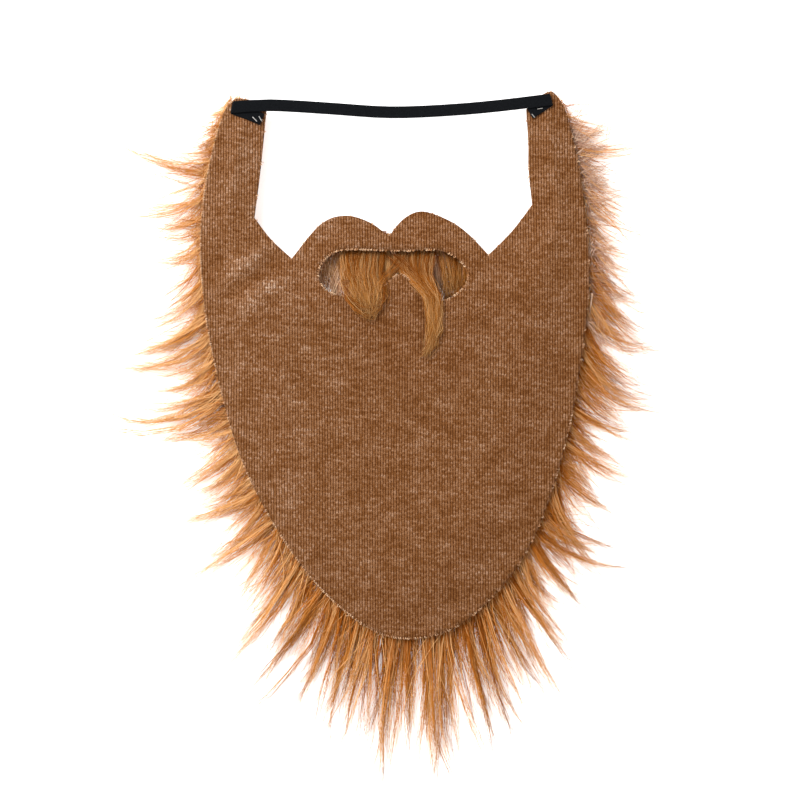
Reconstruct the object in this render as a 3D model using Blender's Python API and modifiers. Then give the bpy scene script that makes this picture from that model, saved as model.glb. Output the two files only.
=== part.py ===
"""Fake beard of knitted long-pile fur with an elastic head strap.

It lies as it was laid down: pile below, knitted side up, chin towards -Y.
Every table and dimension is in millimetres, measured on the cloth with the
middle of the mask at x = 0. One empty carries all the pieces and stands the
beard's footprint on the world's origin.
"""
import math

import bmesh
import bpy
from mathutils import Matrix, Vector

MM = 0.001

# The knitted cloth and how it lies on its own pile
CLOTH_THICKNESS = 1.2
TOUCH_GAP = 0.3
MIDDLE_HEIGHT = 14.3
CHIN_EDGE_HEIGHT = 11.0
ARM_END_HEIGHT = 8.0
ARM_END_Y = 155.0
ARM_FALL_LENGTH = 120.0
SHOULDER_WIDTH = 32.0
PILE_SKIRT_SLOPE = 0.6
PILE_LEAST_HEIGHT = 2.0
OUTLINE_STEP = 7.0
GRID_CELL = 10.0
GRID_HALF_WIDTH = 120.0
GRID_LOW_Y = -140.0
GRID_HIGH_Y = 170.0
CUTTER_LOW_Z = -5.0
CUTTER_HIGH_Z = 40.0

# The cut edge of the cloth, walked once round. The third column is how far the
# pile below stands out past the edge, or stays back from it where negative.
#    x, y, pile
OUTER_EDGE = (
    (-80.0, 151.5, 1.0),
    (-86.5, 143.0, 3.0),
    (-94.5, 111.0, 6.0),
    (-97.5, 74.0, 7.0),
    (-92.0, 26.0, 8.0),
    (-75.0, -34.5, 8.0),
    (-46.0, -84.0, 9.0),
    (-16.5, -112.0, 9.0),
    (8.5, -119.5, 9.0),
    (37.0, -109.5, 9.0),
    (66.5, -75.0, 9.0),
    (85.5, -21.5, 8.0),
    (96.0, 40.5, 8.0),
    (97.0, 75.0, 7.0),
    (93.5, 110.0, 6.0),
    (87.0, 141.0, 3.0),
    (82.5, 151.0, 1.0),
)
RIGHT_ARM_END = (
    (82.5, 151.0, 1.0),
    (78.5, 155.0, -1.0),
    (72.0, 152.0, -1.5),
    (65.9, 146.0, -1.5),
)
RIGHT_ARM_INNER_EDGE = (
    (65.9, 146.0, -1.5),
    (66.9, 128.5, -2.0),
    (67.0, 116.0, -2.0),
    (68.8, 98.0, -2.0),
)
RIGHT_NOTCH = (
    (68.8, 98.0, -2.0),
    (58.5, 84.5, -2.0),
    (46.8, 72.7, -2.0),
)
RIGHT_HUMP = (
    (46.8, 72.7, -2.0),
    (37.0, 83.0, -2.0),
    (27.5, 89.8, -2.0),
    (14.0, 94.6, -2.0),
    (4.5, 91.0, -2.0),
    (-3.2, 82.0, -2.0),
)
LEFT_HUMP = (
    (-3.2, 82.0, -2.0),
    (-12.5, 89.0, -2.0),
    (-25.0, 92.5, -2.0),
    (-37.5, 88.0, -2.0),
    (-51.8, 70.9, -2.0),
)
LEFT_NOTCH = (
    (-51.8, 70.9, -2.0),
    (-62.5, 81.0, -2.0),
    (-70.5, 91.5, -2.0),
)
LEFT_ARM_INNER_EDGE = (
    (-70.5, 91.5, -2.0),
    (-68.5, 107.0, -2.0),
    (-66.5, 125.0, -2.0),
    (-64.5, 146.0, -1.5),
)
LEFT_ARM_END = (
    (-64.5, 146.0, -1.5),
    (-72.0, 150.5, -1.0),
    (-80.0, 151.5, 1.0),
)
CUT_EDGES = (OUTER_EDGE, RIGHT_ARM_END, RIGHT_ARM_INNER_EDGE, RIGHT_NOTCH, RIGHT_HUMP,
             LEFT_HUMP, LEFT_NOTCH, LEFT_ARM_INNER_EDGE, LEFT_ARM_END)

# The mouth hole, with the same columns. Its pile stays back all round.
MOUTH_EDGE = (
    (-38.5, 63.0, -1.5),
    (-34.5, 55.0, -1.5),
    (-25.0, 51.8, -1.5),
    (-12.0, 52.3, -1.5),
    (-5.0, 57.5, -1.5),
    (2.0, 63.0, -1.5),
    (8.5, 59.0, -1.5),
    (14.5, 51.0, -1.5),
    (24.0, 49.6, -1.5),
    (32.9, 54.8, -1.5),
    (36.6, 62.6, -1.5),
    (31.7, 70.3, -1.5),
    (21.4, 74.9, -1.5),
    (3.0, 74.6, -1.5),
    (-24.5, 75.2, -1.5),
    (-34.0, 71.5, -1.5),
)

# The pointed locks of pile that reach out past the outer edge, from the left
# arm's end round the chin to the right arm's end.
#    distance along the edge, bearing from +X in degrees, reach past the edge, width
LOCKS = (
    (8, 194, 11, 6),
    (26, 190, 20, 7),
    (38, 163, 42, 9),
    (50, 187, 31, 10),
    (66, 186, 21, 9),
    (79, 196, 27, 10),
    (94, 217, 33, 14),
    (108, 209, 44, 14),
    (121, 198, 50, 14),
    (135, 208, 31, 13),
    (152, 188, 63, 13),
    (168, 193, 34, 12),
    (180, 213, 39, 13),
    (193, 214, 31, 13),
    (205, 203, 41, 12),
    (218, 218, 49, 13),
    (233, 236, 41, 13),
    (248, 232, 60, 16),
    (262, 236, 63, 14),
    (274, 247, 55, 13),
    (284, 254, 60, 13),
    (293, 257, 65, 12),
    (302, 262, 66, 12),
    (310, 265, 73, 13),
    (318, 269, 60, 13),
    (326, 271, 73, 13),
    (334, 274, 74, 13),
    (342, 285, 66, 13),
    (350, 288, 62, 13),
    (359, 293, 62, 13),
    (370, 297, 60, 14),
    (382, 304, 54, 13),
    (395, 309, 40, 13),
    (409, 336, 46, 14),
    (425, 301, 49, 12),
    (442, 319, 34, 13),
    (458, 328, 44, 13),
    (474, 332, 36, 13),
    (490, 337, 39, 14),
    (506, 331, 35, 14),
    (523, 345, 33, 14),
    (538, 320, 34, 14),
    (553, 328, 38, 13),
    (567, 319, 36, 12),
    (580, 329, 42, 10),
    (591, 330, 29, 9),
    (601, 5, 40, 6),
    (614, 347, 22, 7),
)
# How a lock's width runs along it: share of the reach, share of the width
LOCK_SECTIONS = (
    (0.0, 1.0),
    (0.3, 0.84),
    (0.6, 0.56),
    (0.85, 0.26),
    (1.0, 0.05),
)
LOCK_ROOT_DEPTH = 18.0
LOCK_ROOT_WIDTH_SHARE = 0.7
LOCK_FLATNESS = 0.56
LOCK_SIDES = 6

# The moustache hair that falls across the mouth hole, and the two tufts of it
# that come up through the hole and lie on the cloth. The third column is the
# height of the hair's lower side above the cloth's lower side.
#    x, y, lift, half width
ON_CLOTH = CLOTH_THICKNESS + 2 * TOUCH_GAP
LEFT_TUFT = (
    (-16.0, 87.0, -9.0, 8.0),
    (-16.5, 77.0, -9.5, 9.5),
    (-17.0, 70.0, -6.5, 10.0),
    (-15.5, 60.0, ON_CLOTH, 9.5),
    (-14.5, 51.0, ON_CLOTH, 9.0),
    (-13.0, 45.0, ON_CLOTH, 5.5),
    (-12.0, 40.0, ON_CLOTH, 1.0),
)
RIGHT_TUFT = (
    (8.0, 87.0, -9.0, 8.0),
    (8.0, 77.0, -9.0, 9.5),
    (9.5, 70.0, -6.0, 8.5),
    (13.0, 61.5, ON_CLOTH, 5.8),
    (19.2, 50.8, ON_CLOTH, 4.2),
    (20.0, 43.0, ON_CLOTH, 3.6),
    (20.0, 34.5, ON_CLOTH, 2.7),
    (18.5, 27.3, ON_CLOTH, 1.8),
    (14.5, 21.5, ON_CLOTH, 0.7),
)
MIDDLE_FALL = (
    (-4.0, 84.0, -9.0, 6.0),
    (-4.0, 75.0, -9.0, 6.5),
    (-3.5, 68.0, -9.0, 2.5),
)
RIGHT_FALL = (
    (27.0, 83.0, -8.0, 5.5),
    (28.0, 74.0, -8.0, 6.0),
    (29.0, 67.5, -8.0, 1.5),
)
TUFT_FLATNESS = 0.25

# The elastic strap. Its middle line runs in plan from crease to crease, and
# past each crease the end folds under and lies along its arm.
STRAP_WIDTH = 6.0
STRAP_THICKNESS = 0.9
STRAP_FOLD_RADIUS = (STRAP_THICKNESS + TOUCH_GAP) / 2
STRAP_SAG = 3.0
STRAP_LEFT_CREASE_ANGLE = 78.0
STRAP_RIGHT_CREASE_ANGLE = 104.0
STRAP_LEFT_END_LENGTH = 17.8
STRAP_RIGHT_END_LENGTH = 13.2
STRAP_STATION_STEP = 8.0
STRAP_FOLD_STATIONS = 9
STRAP_ROWS_ACROSS = 5
#    x, y
STRAP_COURSE = (
    (-81.0, 146.7),
    (-62.5, 147.7),
    (-32.5, 146.2),
    (-2.5, 144.5),
    (27.5, 145.5),
    (52.5, 147.5),
    (77.5, 150.5),
)
LEFT_ARM_INNER_X = -64.0
RIGHT_ARM_INNER_X = 66.0

# The wire staples. Each row is one leg: where it comes up through cloth and
# strap, and where its clenched point lies on the strap.
WIRE_DIAMETER = 0.5
STAPLE_HOLE_DIAMETER = 1.2
STAPLE_BEND_RADIUS = 0.45
#    leg x, leg y, point x, point y
STAPLE_LEFT_LEGS = (
    (-71.3, 141.8, -69.2, 139.6),
    (-66.9, 139.9, -68.2, 142.2),
)
STAPLE_RIGHT_LEGS = (
    (74.0, 146.2, 71.4, 145.8),
    (68.6, 143.3, 70.0, 141.6),
)

# Colour, roughness and metallic value of each material
FINISHES = {
    "knitted_cloth": ((0.231, 0.100, 0.042), 0.95, 0.0),
    "long_pile": ((0.533, 0.231, 0.095), 0.6, 0.0),
    "black_elastic": ((0.007, 0.008, 0.010), 0.75, 0.0),
    "steel_wire": ((0.60, 0.60, 0.58), 0.35, 1.0),
}


def point_in_metres(x, y, z):
    return Vector((x, y, z)) * MM


def smoothstep(share):
    share = min(max(share, 0.0), 1.0)
    return share * share * (3 - 2 * share)


def smooth_line(rows, step, closed=False):
    """Samples about step apart on a smooth curve through the rows, whatever columns they have."""
    count = len(rows)
    spans = count if closed else count - 1
    line = []
    for i in range(spans):
        if closed:
            before, start, end, after = (rows[(i + k) % count] for k in (-1, 0, 1, 2))
        else:
            before, start, end, after = (rows[min(max(i + k, 0), count - 1)] for k in (-1, 0, 1, 2))
        pieces = max(1, round(math.dist(start[:2], end[:2]) / step))
        for piece in range(pieces):
            t = piece / pieces
            line.append(tuple(
                0.5 * (2 * b + (c - a) * t + (2 * a - 5 * b + 4 * c - d) * t ** 2
                       + (3 * b - a - 3 * c + d) * t ** 3)
                for a, b, c, d in zip(before, start, end, after)))
    if not closed:
        line.append(rows[-1])
    return line


def cloth_outline():
    """The whole cut edge as one closed run of (x, y, pile) samples."""
    outline = []
    for edge in CUT_EDGES:
        outline += smooth_line(edge, OUTLINE_STEP)[:-1]
    return outline


def pile_outline(outline, hole=False):
    """The outline moved out, or back where negative, by its pile column."""
    side = -1 if hole else 1
    moved = []
    for i, (x, y, pile) in enumerate(outline):
        before = outline[i - 1]
        after = outline[(i + 1) % len(outline)]
        along = Vector((after[0] - before[0], after[1] - before[1])).normalized()
        moved.append((x + side * along.y * pile, y - side * along.x * pile))
    return moved


OUTLINE = cloth_outline()
MOUTH = smooth_line(MOUTH_EDGE, OUTLINE_STEP, closed=True)


def edge_depth(x, y):
    """How far a point lies inside the cut edge, negative outside it."""
    nearest = math.inf
    inside = False
    for i, end in enumerate(OUTLINE):
        start = OUTLINE[i - 1]
        run_x = end[0] - start[0]
        run_y = end[1] - start[1]
        share = ((x - start[0]) * run_x + (y - start[1]) * run_y) / (run_x ** 2 + run_y ** 2)
        share = min(max(share, 0.0), 1.0)
        nearest = min(nearest, math.hypot(x - start[0] - share * run_x, y - start[1] - share * run_y))
        if (start[1] > y) != (end[1] > y) and x < start[0] + run_x * (y - start[1]) / run_y:
            inside = not inside
    return nearest if inside else -nearest


def cloth_height(x, y):
    """Height of the cloth's lower side: level in the middle, falling to the edge and to the arms' ends."""
    rise = smoothstep((ARM_END_Y - y) / ARM_FALL_LENGTH)
    edge_height = ARM_END_HEIGHT + (CHIN_EDGE_HEIGHT - ARM_END_HEIGHT) * rise
    return edge_height + (MIDDLE_HEIGHT - edge_height) * smoothstep(edge_depth(x, y) / SHOULDER_WIDTH)


def pile_height(x, y):
    """Height of the pile's upper side: just under the cloth, and sloping down past its edge."""
    past_edge = max(-edge_depth(x, y), 0.0)
    return max(cloth_height(x, y) - TOUCH_GAP - PILE_SKIRT_SLOPE * past_edge, PILE_LEAST_HEIGHT)


def new_material(name):
    colour, roughness, metallic = FINISHES[name]
    material = bpy.data.materials.new(name)
    material.use_nodes = True
    material.diffuse_color = (*colour, 1.0)
    surface = material.node_tree.nodes["Principled BSDF"]
    surface.inputs["Base Color"].default_value = (*colour, 1.0)
    surface.inputs["Roughness"].default_value = roughness
    surface.inputs["Metallic"].default_value = metallic
    return material


def move_to_collection(item, collection):
    for holder in list(item.users_collection):
        holder.objects.unlink(item)
    collection.objects.link(item)


def make_cutter(item, collection):
    move_to_collection(item, collection)
    item.hide_render = True
    item.display_type = "WIRE"
    return item


def mesh_from_curve(item):
    """Turn a curve object into a mesh object with welded caps, in the same place."""
    graph = bpy.context.evaluated_depsgraph_get()
    mesh = bpy.data.meshes.new_from_object(item.evaluated_get(graph))
    shape = bmesh.new()
    shape.from_mesh(mesh)
    bmesh.ops.remove_doubles(shape, verts=shape.verts, dist=0.000001)
    bmesh.ops.recalc_face_normals(shape, faces=shape.faces)
    shape.to_mesh(mesh)
    shape.free()
    name = item.name
    place = item.matrix_world.copy()
    bpy.data.objects.remove(item)
    solid = bpy.data.objects.new(name, mesh)
    solid.matrix_world = place
    return solid


def outline_prism(name, loops, collection):
    """An upright cutter whose plan is the first loop with the others as holes in it."""
    curve = bpy.data.curves.new(name, "CURVE")
    curve.dimensions = "2D"
    curve.fill_mode = "BOTH"
    curve.extrude = (CUTTER_HIGH_Z - CUTTER_LOW_Z) / 2 * MM
    for loop in loops:
        spline = curve.splines.new("POLY")
        spline.use_cyclic_u = True
        spline.points.add(len(loop) - 1)
        for point, place in zip(spline.points, loop):
            point.co = (place[0] * MM, place[1] * MM, 0.0, 1.0)
    flat = bpy.data.objects.new(name, curve)
    flat.location.z = (CUTTER_HIGH_Z + CUTTER_LOW_Z) / 2 * MM
    bpy.context.scene.collection.objects.link(flat)
    bpy.context.view_layer.update()
    prism = mesh_from_curve(flat)
    return make_cutter(prism, collection)


def hair_lock(name, stations, flatness):
    """A lock lofted through upright oval rings: rows of x, y, height of the lower side, half width."""
    shape = bmesh.new()
    rings = []
    for i, (x, y, low, half_width) in enumerate(stations):
        before = stations[max(i - 1, 0)]
        after = stations[min(i + 1, len(stations) - 1)]
        along = Vector((after[0] - before[0], after[1] - before[1])).normalized()
        ring = []
        for side in range(LOCK_SIDES):
            turn = 2 * math.pi * side / LOCK_SIDES
            across = half_width * math.cos(turn)
            up = half_width * flatness * (1 + math.sin(turn))
            ring.append(shape.verts.new(point_in_metres(x - along.y * across, y + along.x * across, low + up)))
        rings.append(ring)
    for ring, further in zip(rings, rings[1:]):
        for side in range(LOCK_SIDES):
            beside = (side + 1) % LOCK_SIDES
            shape.faces.new((ring[side], ring[beside], further[beside], further[side]))
    shape.faces.new(rings[0])
    shape.faces.new(rings[-1])
    bmesh.ops.recalc_face_normals(shape, faces=shape.faces)
    mesh = bpy.data.meshes.new(name)
    shape.to_mesh(mesh)
    shape.free()
    return bpy.data.objects.new(name, mesh)


def outer_edge_point(distance):
    """The point a distance along the outer edge from the left arm's end."""
    line = smooth_line(OUTER_EDGE, OUTLINE_STEP)
    for start, end in zip(line, line[1:]):
        length = math.dist(start[:2], end[:2])
        if distance <= length:
            share = distance / length
            return start[0] + share * (end[0] - start[0]), start[1] + share * (end[1] - start[1])
        distance -= length
    return line[-1][0], line[-1][1]


def edge_locks(collection):
    for number, (distance, bearing, reach, width) in enumerate(LOCKS):
        edge_x, edge_y = outer_edge_point(distance)
        way_x = math.cos(math.radians(bearing))
        way_y = math.sin(math.radians(bearing))
        sections = [(-LOCK_ROOT_DEPTH, LOCK_ROOT_WIDTH_SHARE)]
        sections += [(share * reach, width_share) for share, width_share in LOCK_SECTIONS]
        stations = [(edge_x + along * way_x, edge_y + along * way_y, TOUCH_GAP, width_share * width / 2)
                    for along, width_share in sections]
        make_cutter(hair_lock(f"edge_lock_{number:02d}", stations, LOCK_FLATNESS), collection)


def mouth_locks(collection):
    for name, rows in (("left_tuft", LEFT_TUFT), ("right_tuft", RIGHT_TUFT),
                       ("middle_fall", MIDDLE_FALL), ("right_fall", RIGHT_FALL)):
        stations = [(x, y, cloth_height(x, y) + lift, half_width) for x, y, lift, half_width in rows]
        make_cutter(hair_lock(name, stations, TUFT_FLATNESS), collection)


def draped_grid(name, height_at):
    """A grid over the whole beard whose height at each place comes from height_at."""
    columns = round(2 * GRID_HALF_WIDTH / GRID_CELL)
    rows = round((GRID_HIGH_Y - GRID_LOW_Y) / GRID_CELL)
    bpy.ops.mesh.primitive_grid_add(x_subdivisions=columns, y_subdivisions=rows, size=2)
    grid = bpy.context.object
    grid.name = name
    grid.data.name = name
    middle_y = (GRID_HIGH_Y + GRID_LOW_Y) / 2
    half_length = (GRID_HIGH_Y - GRID_LOW_Y) / 2
    for vertex in grid.data.vertices:
        x = vertex.co.x * GRID_HALF_WIDTH
        y = middle_y + vertex.co.y * half_length
        vertex.co = point_in_metres(x, y, height_at(x, y))
    shape = bmesh.new()
    shape.from_mesh(grid.data)
    bmesh.ops.triangulate(shape, faces=shape.faces, quad_method="FIXED")
    shape.to_mesh(grid.data)
    shape.free()
    return grid


def add_boolean(item, operation, operand):
    modifier = item.modifiers.new(f"{operation.lower()} {operand.name}", "BOOLEAN")
    modifier.operation = operation
    modifier.solver = "EXACT"
    if isinstance(operand, bpy.types.Collection):
        modifier.operand_type = "COLLECTION"
        modifier.collection = operand
    else:
        modifier.object = operand


def knit_backing(collection, cutters, holes):
    cloth = draped_grid("knit_backing", cloth_height)
    move_to_collection(cloth, collection)
    wall = cloth.modifiers.new("cloth thickness", "SOLIDIFY")
    wall.thickness = CLOTH_THICKNESS * MM
    wall.offset = 1.0
    add_boolean(cloth, "INTERSECT", outline_prism("cloth_plan", (OUTLINE, MOUTH), cutters))
    add_boolean(cloth, "DIFFERENCE", holes)
    cloth.data.materials.append(new_material("knitted_cloth"))
    return cloth


def fur_pile(collection, cutters, locks, holes, grooves):
    """The pressed pile, with a flat lower side, fused with all its locks."""
    pile = draped_grid("fur_pile", pile_height)
    move_to_collection(pile, collection)
    shape = bmesh.new()
    shape.from_mesh(pile.data)
    rim = [edge for edge in shape.edges if edge.is_boundary]
    walls = bmesh.ops.extrude_edge_only(shape, edges=rim)["geom"]
    for vertex in (part for part in walls if isinstance(part, bmesh.types.BMVert)):
        vertex.co.z = 0.0
    lower_rim = [edge for edge in shape.edges if edge.is_boundary]
    bmesh.ops.contextual_create(shape, geom=lower_rim)
    bmesh.ops.recalc_face_normals(shape, faces=shape.faces)
    shape.to_mesh(pile.data)
    shape.free()
    plan = (pile_outline(OUTLINE), pile_outline(MOUTH, hole=True))
    add_boolean(pile, "INTERSECT", outline_prism("pile_plan", plan, cutters))
    add_boolean(pile, "UNION", locks)
    add_boolean(pile, "DIFFERENCE", holes)
    add_boolean(pile, "DIFFERENCE", grooves)
    pile.data.materials.append(new_material("long_pile"))
    return pile


def strap_seat_height():
    """Lower side of the strap's folded ends: just clear of the highest cloth under them."""
    seats = [cloth_height(leg[0], leg[1]) for leg in STAPLE_LEFT_LEGS + STAPLE_RIGHT_LEGS]
    return max(seats) + CLOTH_THICKNESS + TOUCH_GAP


def strap_fold(along, across, crease_x, crease_angle, side):
    """Fold one end of the flat strap under along its crease.

    Returns the place in plan and the depth below the main run. side is -1
    for the left crease and 1 for the right one.
    """
    normal_x = side * math.sin(math.radians(crease_angle))
    normal_y = -side * math.cos(math.radians(crease_angle))
    past = (along - crease_x) * normal_x + across * normal_y
    if past <= 0:
        return along, across, 0.0
    round_length = math.pi * STRAP_FOLD_RADIUS
    turn = min(past / STRAP_FOLD_RADIUS, math.pi)
    reach = STRAP_FOLD_RADIUS * math.sin(turn) - max(past - round_length, 0.0)
    depth = STRAP_FOLD_RADIUS * (1 - math.cos(turn))
    return along + (reach - past) * normal_x, across + (reach - past) * normal_y, depth


def strap_course_height(x):
    """In-plan height y of the strap's middle line."""
    rows = smooth_line(STRAP_COURSE, STRAP_STATION_STEP)
    if x <= rows[0][0]:
        start, end = rows[0], rows[1]
    elif x >= rows[-1][0]:
        start, end = rows[-2], rows[-1]
    else:
        start, end = next((a, b) for a, b in zip(rows, rows[1:]) if a[0] <= x <= b[0])
    return start[1] + (end[1] - start[1]) * (x - start[0]) / (end[0] - start[0])


def strap_point(along, across):
    left_crease_x = STRAP_COURSE[0][0]
    right_crease_x = STRAP_COURSE[-1][0]
    if along < (left_crease_x + right_crease_x) / 2:
        x, y, depth = strap_fold(along, across, left_crease_x, STRAP_LEFT_CREASE_ANGLE, -1)
    else:
        x, y, depth = strap_fold(along, across, right_crease_x, STRAP_RIGHT_CREASE_ANGLE, 1)
    top_middle = strap_seat_height() + STRAP_THICKNESS / 2 + 2 * STRAP_FOLD_RADIUS
    span = (x - LEFT_ARM_INNER_X) / (RIGHT_ARM_INNER_X - LEFT_ARM_INNER_X)
    sag = 0.0
    if 0 < span < 1:
        sag = STRAP_SAG * math.sin(math.pi * span) ** 2
    return point_in_metres(x, y + strap_course_height(x), top_middle - sag - depth)


def strap_stations():
    """Distances along the flat strap, close together round each crease."""
    left = STRAP_COURSE[0][0]
    right = STRAP_COURSE[-1][0]
    slant_left = STRAP_WIDTH / 2 / math.tan(math.radians(STRAP_LEFT_CREASE_ANGLE))
    slant_right = STRAP_WIDTH / 2 / math.tan(math.radians(180 - STRAP_RIGHT_CREASE_ANGLE))
    round_length = math.pi * STRAP_FOLD_RADIUS
    left_fold = (left - round_length - slant_left, left + slant_left)
    right_fold = (right - slant_right, right + round_length + slant_right)
    runs = (
        (left - STRAP_LEFT_END_LENGTH, left_fold[0], 3),
        (*left_fold, STRAP_FOLD_STATIONS),
        (left_fold[1], right_fold[0], round((right_fold[0] - left_fold[1]) / STRAP_STATION_STEP)),
        (*right_fold, STRAP_FOLD_STATIONS),
        (right_fold[1], right + STRAP_RIGHT_END_LENGTH, 2),
    )
    stations = []
    for start, end, pieces in runs:
        stations += [start + (end - start) * piece / pieces for piece in range(pieces)]
    return stations + [right + STRAP_RIGHT_END_LENGTH]


def elastic_strap(collection, holes):
    stations = strap_stations()
    bpy.ops.mesh.primitive_grid_add(x_subdivisions=len(stations) - 1,
                                    y_subdivisions=STRAP_ROWS_ACROSS - 1, size=2)
    strap = bpy.context.object
    strap.name = "elastic_strap"
    strap.data.name = "elastic_strap"
    move_to_collection(strap, collection)
    for vertex in strap.data.vertices:
        station = round((vertex.co.x + 1) / 2 * (len(stations) - 1))
        vertex.co = strap_point(stations[station], vertex.co.y * STRAP_WIDTH / 2)
    wall = strap.modifiers.new("strap thickness", "SOLIDIFY")
    wall.thickness = STRAP_THICKNESS * MM
    wall.offset = 0.0
    add_boolean(strap, "DIFFERENCE", holes)
    strap.data.materials.append(new_material("black_elastic"))
    return strap


def rounded_path(points, radius):
    """The points joined by straight runs, with each corner turned in three short steps."""
    path = [points[0]]
    for before, corner, after in zip(points, points[1:], points[2:]):
        here = Vector(corner)
        into = (here - Vector(before)).normalized()
        out = (Vector(after) - here).normalized()
        path += [tuple(here - into * radius), tuple(here + (out - into) * radius * 0.3),
                 tuple(here + out * radius)]
    return path + [points[-1]]


def staple_levels(legs):
    """Heights of the crown under the cloth and of the clenched points on the strap."""
    lowest_cloth = min(cloth_height(leg[0], leg[1]) for leg in legs)
    crown = lowest_cloth - TOUCH_GAP - WIRE_DIAMETER / 2
    clench = strap_seat_height() + STRAP_THICKNESS + TOUCH_GAP + WIRE_DIAMETER / 2
    return crown, clench


def staple(name, legs, collection):
    crown, clench = staple_levels(legs)
    (first_x, first_y, first_point_x, first_point_y), (last_x, last_y, last_point_x, last_point_y) = legs
    corners = [
        (first_point_x, first_point_y, clench),
        (first_x, first_y, clench),
        (first_x, first_y, crown),
        (last_x, last_y, crown),
        (last_x, last_y, clench),
        (last_point_x, last_point_y, clench),
    ]
    path = rounded_path(corners, STAPLE_BEND_RADIUS)
    curve = bpy.data.curves.new(name, "CURVE")
    curve.dimensions = "3D"
    curve.bevel_depth = WIRE_DIAMETER / 2 * MM
    curve.bevel_resolution = 1
    curve.use_fill_caps = True
    spline = curve.splines.new("POLY")
    spline.points.add(len(path) - 1)
    for point, place in zip(spline.points, path):
        point.co = (*point_in_metres(*place), 1.0)
    wire = bpy.data.objects.new(name, curve)
    collection.objects.link(wire)
    bpy.context.view_layer.update()
    solid = mesh_from_curve(wire)
    collection.objects.link(solid)
    solid.data.shade_smooth()
    solid.data.materials.append(bpy.data.materials.get("steel_wire") or new_material("steel_wire"))
    return solid


def staple_holes(legs, collection):
    """Upright holes for both legs, and the groove for the crown, open to the top of the pile."""
    crown, _ = staple_levels(legs)
    low = crown - STAPLE_HOLE_DIAMETER / 2
    for leg in legs:
        bpy.ops.mesh.primitive_cylinder_add(
            vertices=8, radius=STAPLE_HOLE_DIAMETER / 2 * MM, depth=(CUTTER_HIGH_Z - low) * MM,
            location=point_in_metres(leg[0], leg[1], (CUTTER_HIGH_Z + low) / 2))
        make_cutter(bpy.context.object, collection)
    return low


def staple_groove(legs, low, collection):
    start = Vector(legs[0][:2])
    end = Vector(legs[1][:2])
    run = end - start
    high = cloth_height(*((start + end) / 2)) + CLOTH_THICKNESS / 2
    bpy.ops.mesh.primitive_cube_add(size=1)
    groove = bpy.context.object
    groove.scale = point_in_metres(run.length, STAPLE_HOLE_DIAMETER, high - low)
    groove.rotation_euler.z = math.atan2(run.y, run.x)
    groove.location = point_in_metres(*((start + end) / 2), (high + low) / 2)
    bpy.context.view_layer.update()
    groove.data.transform(groove.matrix_world)
    groove.matrix_world = Matrix.Identity(4)
    make_cutter(groove, collection)


def new_collection(name, parent):
    collection = bpy.data.collections.new(name)
    parent.children.link(collection)
    return collection


def stand_on_origin(pieces, collection):
    """Carry pieces and cutters on one empty that puts the middle of the footprint at x = y = 0."""
    bpy.context.view_layer.update()
    graph = bpy.context.evaluated_depsgraph_get()
    corners = []
    for piece in pieces:
        corners += [piece.matrix_world @ Vector(corner) for corner in piece.evaluated_get(graph).bound_box]
    middle_x = (min(corner.x for corner in corners) + max(corner.x for corner in corners)) / 2
    middle_y = (min(corner.y for corner in corners) + max(corner.y for corner in corners)) / 2
    stand = bpy.data.objects.new("beard_stand", None)
    collection.objects.link(stand)
    stand.location = (-middle_x, -middle_y, 0.0)
    for item in list(bpy.data.objects):
        if item is not stand:
            item.parent = stand
    bpy.context.view_layer.update()


def build_beard():
    for item in list(bpy.data.objects):
        bpy.data.objects.remove(item)
    scene_collection = bpy.context.scene.collection
    beard = new_collection("fake_beard", scene_collection)
    cutters = new_collection("cutters", scene_collection)
    locks = new_collection("pile_locks", cutters)
    leg_holes = new_collection("staple_leg_holes", cutters)
    grooves = new_collection("staple_grooves", cutters)
    edge_locks(locks)
    mouth_locks(locks)
    for legs in (STAPLE_LEFT_LEGS, STAPLE_RIGHT_LEGS):
        low = staple_holes(legs, leg_holes)
        staple_groove(legs, low, grooves)
    pieces = [
        knit_backing(beard, cutters, leg_holes),
        fur_pile(beard, cutters, locks, leg_holes, grooves),
        elastic_strap(beard, leg_holes),
        staple("staple_left", STAPLE_LEFT_LEGS, beard),
        staple("staple_right", STAPLE_RIGHT_LEGS, beard),
    ]
    stand_on_origin(pieces, beard)


build_beard()
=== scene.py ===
"""Looks of a fake beard that lies pile side down: knitted cloth, long pile, elastic and staples.

Tables and sizes are in millimetres in the cloth's own frame, whose x = 0 is the
middle of the mask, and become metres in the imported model's frame in place().
"""
import math
import random

import bpy
import numpy as np
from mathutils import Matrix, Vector, noise
from mathutils.geometry import delaunay_2d_cdt


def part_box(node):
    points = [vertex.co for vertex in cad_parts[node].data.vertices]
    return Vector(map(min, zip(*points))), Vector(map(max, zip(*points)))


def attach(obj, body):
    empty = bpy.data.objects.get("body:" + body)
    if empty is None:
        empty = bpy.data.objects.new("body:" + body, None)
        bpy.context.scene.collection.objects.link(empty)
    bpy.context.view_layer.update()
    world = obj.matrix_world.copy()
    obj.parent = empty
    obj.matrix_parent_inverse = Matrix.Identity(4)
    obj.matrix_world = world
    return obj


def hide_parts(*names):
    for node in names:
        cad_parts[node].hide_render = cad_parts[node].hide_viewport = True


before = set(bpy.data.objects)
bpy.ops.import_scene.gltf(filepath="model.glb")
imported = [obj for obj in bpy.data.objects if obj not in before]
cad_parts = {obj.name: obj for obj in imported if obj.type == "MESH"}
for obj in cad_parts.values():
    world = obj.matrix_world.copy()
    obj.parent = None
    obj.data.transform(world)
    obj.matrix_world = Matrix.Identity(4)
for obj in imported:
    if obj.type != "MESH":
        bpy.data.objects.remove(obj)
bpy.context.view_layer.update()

MM = 0.001

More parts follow.
